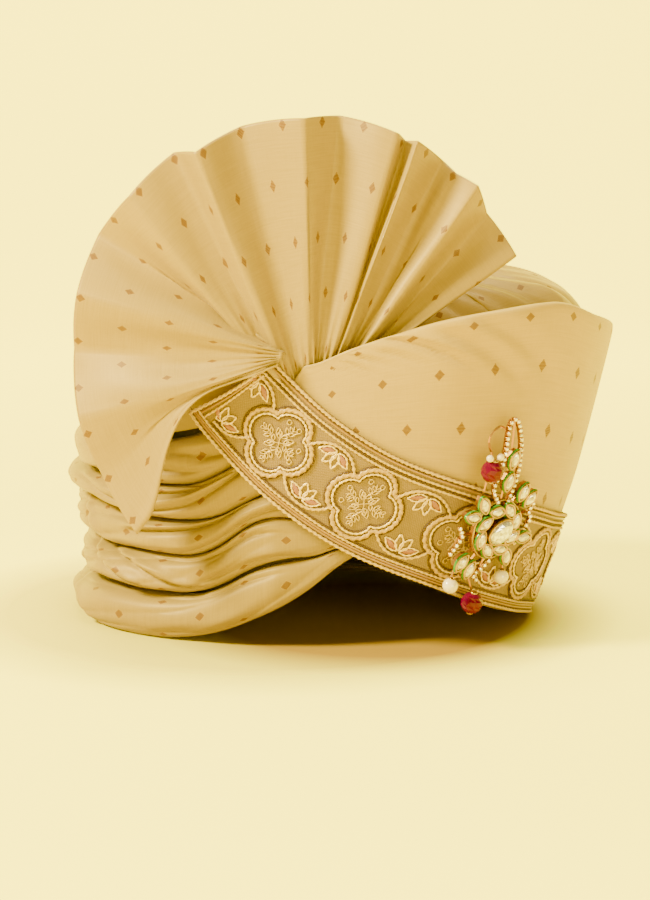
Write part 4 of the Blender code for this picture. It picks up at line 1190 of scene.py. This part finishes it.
# %% Rows of crystals
Outline = namedtuple("Outline", "across up")
PLUME = (
    Outline(-0.30, 0.255),
    Outline(-0.72, 0.38),
    Outline(-0.55, 0.55),
    Outline(-0.52, 0.70),
    Outline(-0.62, 0.86),
    Outline(-0.60, 0.97),
    Outline(-0.38, 1.00),
    Outline(-0.12, 0.955),
    Outline(0.26, 0.80),
    Outline(0.46, 0.62),
    Outline(0.50, 0.45),
    Outline(0.30, 0.255),
)
CLUSTERS = {
    "crystals_left": ((-1.17, 0.16), (-1.05, -0.06), (-1.18, -0.28), (-1.30, -0.46)),
    "crystals_right": ((1.00, 0.54), (0.92, 0.34), (1.02, 0.16), (0.93, 0.00)),
    "crystals_lower": ((-0.02, -0.80), (-0.22, -0.98), (-0.42, -1.10), (-0.30, -1.24)),
}


def rounded(points, count):
    """More points on a smooth line through a few, by Catmull-Rom."""
    points = np.asarray(points, float)
    at = np.linspace(0, len(points) - 1, count)
    k = np.minimum(at.astype(int), len(points) - 2)
    u = (at - k)[:, None]
    last = len(points) - 1
    p0, p1, p2, p3 = (points[np.clip(k + d, 0, last)] for d in (-1, 0, 1, 2))
    return 0.5 * (
        2 * p1
        + (p2 - p0) * u
        + (2 * p0 - 5 * p1 + 4 * p2 - p3) * u**2
        + (3 * p1 - p0 - 3 * p2 + p3) * u**3
    )


def crystal_spots(points, size):
    line = rounded(points, 160)
    run = run_of(line)
    at = np.linspace(0, run[-1], max(3, round(run[-1] / (size * 1.02)) + 1))
    return np.stack((np.interp(at, run, line[:, 0]), np.interp(at, run, line[:, 1])), axis=-1)


crystal_rows = {"crystals_plume": [(o.across * PLUME_WIDTH, o.up * PLUME_HEIGHT) for o in PLUME]}
for name, points in CLUSTERS.items():
    crystal_rows[name] = [(x * OUTER_REACH, y * OUTER_REACH) for x, y in points]
small_cups = bmesh.new()
CRYSTAL_RISE = 1.9 * MM
for name, points in crystal_rows.items():
    stones = bmesh.new()
    for k, spot in enumerate(crystal_spots(points, CRYSTAL)):
        setting = Setting(spot[0], spot[1], 23 * k)
        cut_stone(stones, setting, CRYSTAL * 0.84, CRYSTAL * 0.84, 0.0, 1.0 * MM, 8, CRYSTAL_RISE)
        wide = CRYSTAL * 0.86
        rim(small_cups, setting, wide, wide, 0.0, 0.30 * MM, CRYSTAL_RISE + 0.1 * MM, 0.7 * MM)
        for claw in range(4):
            turn = math.radians(90 * claw + 45 + 23 * k)
            made = bmesh.ops.create_uvsphere(small_cups, u_segments=6, v_segments=4, radius=0.26 * MM)
            spots = spots_of(made["verts"])
            spots = spots + [*(CRYSTAL * 0.42 * heading(turn)), CRYSTAL_RISE + 0.5 * MM]
            place_verts(made["verts"], on_brooch(spots, Setting(spot[0], spot[1], 0)))
    jewel(f"{name}_cut", stones, "crystal", name, smooth_faces=False)
crystal_cups = jewel("crystal_cups", small_cups, "rose_gold")

# %% [markdown]
# The rubies are faceted beads and the pearls plain ones. All but the two seed pearls sit
# between small gold caps. Places and sizes are read from the solids that they dress.

# %% Beads
ruby_beads, pearl_beads, caps = bmesh.new(), bmesh.new(), bmesh.new()
up_axis = np.array(BROOCH)[:3, 1]
for name in ("ruby_top", "ruby_low", "pearl_left", "pearl_right", "seed_pearl_1", "seed_pearl_2"):
    low, high = (np.array(corner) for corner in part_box(name))
    middle, size = (low + high) / 2, float((high - low).max())
    cut = name.startswith("ruby")
    target, rings = (ruby_beads, 8) if cut else (pearl_beads, 20)
    made = bmesh.ops.create_uvsphere(target, u_segments=10 if cut else 32, v_segments=rings, radius=size / 2)
    spots = spots_of(made["verts"])
    if cut:
        level = np.round(np.arccos(np.clip(spots[:, 2] * 2 / size, -1, 1)) / (math.pi / rings))
        shift = math.pi / 10 * (level % 2)
        x, y = spots[:, 0].copy(), spots[:, 1].copy()
        spots[:, 0] = x * np.cos(shift) - y * np.sin(shift)
        spots[:, 1] = x * np.sin(shift) + y * np.cos(shift)
    matrix = np.array(BROOCH)[:3, :3]
    turned = spots[:, [0, 2, 1]] * [1, 1, -1]
    place_verts(made["verts"], middle + turned @ matrix.T)
    if size > 5 * MM:
        for way in (-1, 1):
            made = bmesh.ops.create_uvsphere(caps, u_segments=16, v_segments=8, radius=0.17 * size)
            flat = spots_of(made["verts"]) * [1, 1, 0.55]
            flat = flat[:, [0, 2, 1]] * [1, 1, -1]
            place_verts(made["verts"], middle + up_axis * way * size * 0.485 + flat @ matrix.T)
rubies = jewel("ruby_beads", ruby_beads, "ruby_glass", "ruby_top", "ruby_low", smooth_faces=False)
pearl_nodes = ("pearl_left", "pearl_right", "seed_pearl_1", "seed_pearl_2")
pearls = jewel("pearl_beads", pearl_beads, "pearl", *pearl_nodes)
bead_caps = jewel("bead_caps", caps, "rose_gold")

# %% [markdown]
# Every finish is a Principled shader fed by procedural textures. A small class wraps
# a socket so that sums and products of masks read as ordinary arithmetic.

# %% Finishes


class Wire:
    """A socket that works as a number: 1 - mask adds the Math node."""

    def __init__(self, finish, socket):
        self.finish, self.socket = finish, socket

    def math(self, operation, *others, swap=False):
        terms = (others[0], self) if swap else (self, *others)
        inputs = dict(enumerate(terms))
        return self.finish.node("ShaderNodeMath", {"operation": operation}, inputs)

    def __add__(self, other):
        return self.math("ADD", other)

    def __sub__(self, other):
        return self.math("SUBTRACT", other)

    def __rsub__(self, other):
        return self.math("SUBTRACT", other, swap=True)

    def __mul__(self, other):
        return self.math("MULTIPLY", other)

    def __truediv__(self, other):
        return self.math("DIVIDE", other)

    def __abs__(self):
        return self.math("ABSOLUTE")

    def clamped(self):
        return self.math("MINIMUM", 1.0).math("MAXIMUM", 0.0)


class Finish:
    """A material under construction: node() adds a node and gives its result."""

    def __init__(self, name, colour, roughness, metallic=0.0):
        self.material = bpy.data.materials.new(name)
        self.material.use_nodes = True
        self.tree = self.material.node_tree
        self.shader = self.tree.nodes["Principled BSDF"]
        self.put("Base Color", (*colour, 1.0))
        self.put("Roughness", roughness)
        self.put("Metallic", metallic)

    def put(self, name, value):
        self.fill(self.shader.inputs[name], value)

    def fill(self, socket, value):
        if isinstance(value, Wire):
            self.tree.links.new(value.socket, socket)
        else:
            socket.default_value = value

    def node(self, kind, settings=None, inputs=None, output=0):
        made = self.tree.nodes.new(kind)
        for key, value in (settings or {}).items():
            setattr(made, key, value)
        for key, value in (inputs or {}).items():
            self.fill(made.inputs[key], value)
        return Wire(self, made.outputs[output])

    def mix(self, share, first, second):
        colours = {0: share, 6: first, 7: second}
        return self.node("ShaderNodeMix", {"data_type": "RGBA"}, colours, output=2)

    def bump(self, height, distance, strength=1.0, under=None):
        inputs = {"Height": height, "Distance": distance, "Strength": strength}
        if under is not None:
            inputs["Normal"] = under
        return self.node("ShaderNodeBump", None, inputs)

    def flat_cloth(self):
        """The cloth's own metres, across and along."""
        uv = self.node("ShaderNodeUVMap")
        parts = self.tree.nodes.new("ShaderNodeSeparateXYZ")
        self.fill(parts.inputs[0], uv)
        return Wire(self, parts.outputs[0]), Wire(self, parts.outputs[1])

    def noise(self, x, y, z):
        vector = self.node("ShaderNodeCombineXYZ", None, {0: x, 1: y, 2: z})
        return self.node("ShaderNodeTexNoise", None, {"Vector": vector, "Scale": 1.0, "Detail": 3.0})

    def place(self):
        """The place on the object itself, in metres."""
        return self.node("ShaderNodeTexCoord", output=3)

    def grain(self, scale, detail):
        inputs = {"Vector": self.place(), "Scale": scale, "Detail": detail}
        return self.node("ShaderNodeTexNoise", None, inputs)


def toned(colour, share=1.0):
    """A colour with its alpha, made lighter or darker."""
    return (*[min(1.0, part * share) for part in colour], 1.0)


SILK = (0.272, 0.176, 0.021)
FIGURE_BROWN = (0.080, 0.024, 0.001, 1)
FIGURE_HALO = (0.42, 0.24, 0.024, 1)
FIGURES_ACROSS = 23.0
FIGURES_APART = 24.0


def silk(name, tone=1.0, figures=True, gloss=0.46):
    """Raw silk: uneven threads across, a soft sheen, and small woven leaf figures."""
    lit = [part * tone for part in SILK]
    made = Finish(name, lit, gloss)
    made.put("Specular IOR Level", 0.28)
    made.put("Specular Tint", toned((1.0, 0.76, 0.28)))
    u, v = made.flat_cloth()
    slub = made.noise(u * 55, v * 1500, 0.0)
    warp = made.noise(u * 1700, v * 90, 4.0)
    cloud = made.noise(u * 14, v * 14, 9.0)
    tint = (slub - 0.5) * 1.1 + (warp - 0.5) * 0.5 + (cloud - 0.5) * 0.5 + 0.5
    colour = made.mix(tint.clamped(), toned(lit, 0.84), toned(lit, 1.14))
    if figures:
        across, apart = FIGURES_ACROSS, FIGURES_APART
        lane = (v / (apart * MM)).math("FLOOR")
        x = ((u / (across * MM) + lane * 0.5).math("FRACT") - 0.5) * across
        y = ((v / (apart * MM)).math("FRACT") - 0.5) * apart
        jag = (abs(y) * 1.7).math("ROUND") / 1.7
        half = (2.85 - jag) * 0.74
        core = ((half - abs(x)) * 6.0).clamped()
        halo = ((half + 0.4 - abs(x)) * 6.0).clamped() * ((3.2 - abs(y)) * 6.0).clamped()
        bars = ((y * 10.7).math("SINE") * 0.5 + 0.85).clamped()
        colour = made.mix(halo * 0.25, colour, FIGURE_HALO)
        colour = made.mix(core * bars, colour, FIGURE_BROWN)
    made.put("Base Color", colour)
    made.put("Sheen Weight", 0.10)
    made.put("Sheen Roughness", 0.35)
    made.put("Sheen Tint", toned((1.0, 0.78, 0.35)))
    threads = slub * 0.7 + warp * 0.3
    made.put("Normal", made.bump(threads, 0.16 * MM, 0.5))
    return made.material


def dress(made, material):
    made.data.materials.clear()
    made.data.materials.append(material)


cream_silk = silk("cream_silk")
dress(fan, cream_silk)
# Painted light: the panel's silk is the same silk made lighter, for the light that falls on it.
dress(panel, silk("panel_silk_painted_light", tone=1.32))
# Painted shade: the rolls' silk is the same silk made darker, for the shade they lie in.
rope_silk_painted_shade = silk("rope_silk_painted_shade", tone=0.84)
for made in rolls:
    dress(made, rope_silk_painted_shade)
crown_satin = silk("crown_satin", tone=0.95, gloss=0.42)
dress(crown, crown_satin)
# Painted shade: the cap lining's silk is made much darker, for the deep shade under the arch.
dress(lining, silk("lining_silk_painted_shade", tone=0.30, figures=False))
print("silk on", 4 + len(rolls), "pieces")

# %% [markdown]
# The border's ground is a net of gold thread, so its colour and relief are woven from
# two sines. The cords share one recipe: a metal-wrapped thread with a fine grain.

# %% Embroidery finishes
NET_THREADS = 5200
NET_DARK = (0.115, 0.062, 0.008, 1)
NET_LIGHT = (0.25, 0.145, 0.020, 1)
net = Finish("border_net", NET_LIGHT[:3], 0.6)
across, along_it = net.flat_cloth()
holes = (across * NET_THREADS).math("SINE") * (along_it * NET_THREADS).math("SINE")
holes = (holes + 0.2).clamped()
worn = net.noise(across * 120, along_it * 120, 2.0)
ground = net.mix((holes * 0.6 + worn * 0.4).clamped(), NET_DARK, NET_LIGHT)
net.put("Base Color", ground)
net.put("Normal", net.bump(holes, 0.15 * MM, 0.5))
dress(ribbon, net.material)


def cord_finish(name, colour, metallic, roughness):
    made = Finish(name, colour, roughness, metallic)
    grain = made.grain(900.0, 2.0)
    made.put("Base Color", made.mix(grain, toned(colour, 0.62), toned(colour, 1.3)))
    made.put("Normal", made.bump(grain, 0.10 * MM, 0.5))
    return made.material


rope_gold = cord_finish("couched_gold", (0.52, 0.33, 0.050), 0.15, 0.40)
bright_gold = cord_finish("bright_gold_cord", (0.72, 0.49, 0.100), 0.2, 0.33)
for made in (ropes, inner_ropes, arc_cords):
    dress(made, rope_gold)
for made in (bright_cords, leaf_cords):
    dress(made, bright_gold)
dress(outline_cords, cord_finish("dull_gold_cord", (0.44, 0.26, 0.030), 0.15, 0.45))
dress(strips, cord_finish("gold_satin", (0.26, 0.13, 0.014), 0.2, 0.34))
dress(sprig_threads, cord_finish("sprig_gold", (0.52, 0.34, 0.060), 0.3, 0.33))
dress(stitches, cord_finish("dark_stitches", (0.075, 0.030, 0.004), 0.1, 0.5))
dress(satin_leaves, cord_finish("dusty_pink_satin", (0.25, 0.085, 0.035), 0.0, 0.4))

# %% [markdown]
# The jewellery: yellow and rose gold with worn, slightly uneven polish, clear stones
# whose facets are painted light and dark at random as painted reflections, ruby glass,
# enamel and pearl.

# %% Jewellery finishes


def polished(name, colour, roughness, metallic, worn_by=0.3):
    made = Finish(name, colour, roughness, metallic)
    patch = made.grain(240.0, 3.0)
    made.put("Base Color", made.mix(patch, toned(colour, 1 - worn_by), toned(colour, 1.12)))
    made.put("Roughness", patch * 0.16 + (roughness - 0.05))
    return made


def faceted(name, reflected_light_tone, reflected_dark_tone, metallic):
    made = Finish(name, reflected_light_tone, 0.07, metallic)
    # Painted reflections: small cells of each stone are painted light or dark, as glints and reflections in
    # its facets.
    inputs = {"Vector": made.place(), "Scale": 720.0}
    cells = made.node("ShaderNodeTexVoronoi", {"feature": "F1"}, inputs, output=1)
    tone = made.node("ShaderNodeSeparateColor", None, {0: cells})
    made.put("Base Color", made.mix(tone, toned(reflected_dark_tone), toned(reflected_light_tone)))
    made.put("Coat Weight", 0.8)
    made.put("Coat Roughness", 0.03)
    return made.material


yellow_gold = polished("yellow_gold", (0.40, 0.245, 0.010), 0.28, 1.0).material
rose_gold = polished("rose_gold", (0.44, 0.21, 0.030), 0.26, 1.0).material
enamel_green = polished("enamel", (0.035, 0.16, 0.012), 0.15, 0.0).material
polki = faceted("polki", (0.85, 0.78, 0.55), (0.30, 0.24, 0.12), 0.25)
rhinestone = faceted("rhinestone", (0.95, 0.93, 0.88), (0.35, 0.30, 0.22), 0.55)
ruby = polished("ruby_glass", (0.095, 0.0006, 0.014), 0.14, 0.0)
ruby.put("Specular IOR Level", 0.22)
pearl = polished("pearl", (0.62, 0.50, 0.26), 0.20, 0.0, worn_by=0.1)
pearl.put("Coat Weight", 0.7)
dress(gold_cups, yellow_gold)
dress(bead_caps, yellow_gold)
dress(crystal_cups, rose_gold)
dress(green_enamel, enamel_green)
dress(petal_stones, polki)
dress(centre_stone, rhinestone)
for name in crystal_rows:
    dress(bpy.data.objects[f"{name}_cut"], rhinestone)
dress(rubies, ruby.material)
dress(pearls, pearl.material)
dress(bpy.data.objects["brooch_frame"], rose_gold)

# %% [markdown]
# A studio of one pale paper that curves up behind and slopes up far in front. The paper
# glows, save close to the turban, so that it looks even, as a lit backdrop does, and a
# painted shade makes it darker under the arch of the brow. The main light comes from the
# upper left, and the others only soften the shadows.

# %% Floor and light
FLOOR_HALF = 6.0
COVE_BACK = 1.6
COVE_RADIUS = 0.8
PAPER_FRONT = 8.0
PAPER_HALF = 8.3
PAPER_SHIFT = 3.7
PAPER = (0.62, 0.52, 0.022)
PAINTED_ARCH_SHADE = (0.28, 0.16, 0.008, 1)
GLOW_NEAR = (2.4, 2.05, 0.032, 1)
GLOW_FAR = (3.9, 3.20, 0.050, 1)
SHADE_REACH = 0.130
ARCH_SHADE_REACH = 0.080
FAR_REACH = 0.35
LAMP = (1.0, 0.91, 0.62)
WORLD = (1.0, 0.90, 0.62)
floor_shape = bmesh.new()
bmesh.ops.create_grid(floor_shape, x_segments=40, y_segments=200, size=1.0)
back = Vector((math.sin(VIEW_BEARING), math.cos(VIEW_BEARING), 0))
centre_point = Vector((AXIS_X, AXIS_Y, 0))
for vertex in floor_shape.verts:
    side, deep = vertex.co.x * FLOOR_HALF, vertex.co.y * PAPER_HALF - PAPER_SHIFT
    past = max(0.0, deep - COVE_BACK)
    lift = 0.0
    if past > 0:
        turn = min(past / COVE_RADIUS, math.pi / 2)
        lift = COVE_RADIUS * (1 - math.cos(turn)) + max(0.0, past - COVE_RADIUS * math.pi / 2)
        deep = COVE_BACK + COVE_RADIUS * math.sin(turn)
    lift += 1.2 * max(0.0, -deep - PAPER_FRONT)
    vertex.co = centre_point + view_right * side + back * deep + Vector((0, 0, lift))
floor = piece("floor", floor_shape)
paper = Finish("studio_paper", PAPER, 0.95)
place = paper.place()


def metres_from(middle):
    """How far each place of the paper is from a point."""
    return paper.node("ShaderNodeVectorMath", {"operation": "DISTANCE"}, {0: place, 1: middle}, output=1)


apart = metres_from(centre_point - view_right * 0.026 - back * 0.004)
near = ((apart - SHADE_REACH) * 20.0).clamped()
# Painted shade: the paper's own colour is made darker under the arch of the brow.
beside = metres_from(centre_point + view_right * 0.030 - back * 0.030)
under = ((beside - ARCH_SHADE_REACH) * 28.0).clamped()
paper.put("Base Color", paper.mix(under, PAINTED_ARCH_SHADE, toned(PAPER)))
far = ((apart - FAR_REACH) * 1.2).clamped()
glow = paper.mix(near, (0, 0, 0, 1), GLOW_NEAR)
paper.put("Emission Color", paper.mix(far, glow, GLOW_FAR))
paper.put("Emission Strength", 1.0)
paper.put("Specular IOR Level", 0.1)
dress(floor, paper.material)


def light(name, offset, size, watts):
    data = bpy.data.lights.new(name, "AREA")
    data.shape = "DISK"
    data.size = size
    data.energy = watts
    data.color = LAMP
    lamp = bpy.data.objects.new(name, data)
    right, front, up = offset
    lamp.location = centre_point + view_right * right - back * front + Vector((0, 0, up))
    target = centre_point + Vector((0, 0, 0.1))
    lamp.rotation_euler = (lamp.location - target).to_track_quat("Z", "Y").to_euler()
    bpy.context.scene.collection.objects.link(lamp)


light("key", (-1.55, 0.75, 1.45), 0.55, 250)
light("fill", (1.0, 1.6, 0.30), 0.9, 26)
light("top", (0.1, -0.2, 2.1), 1.3, 84)
world = bpy.data.worlds.new("studio")
world.use_nodes = True
sky = world.node_tree.nodes["Background"].inputs
sky["Color"].default_value = toned(WORLD)
sky["Strength"].default_value = 0.35
bpy.context.scene.world = world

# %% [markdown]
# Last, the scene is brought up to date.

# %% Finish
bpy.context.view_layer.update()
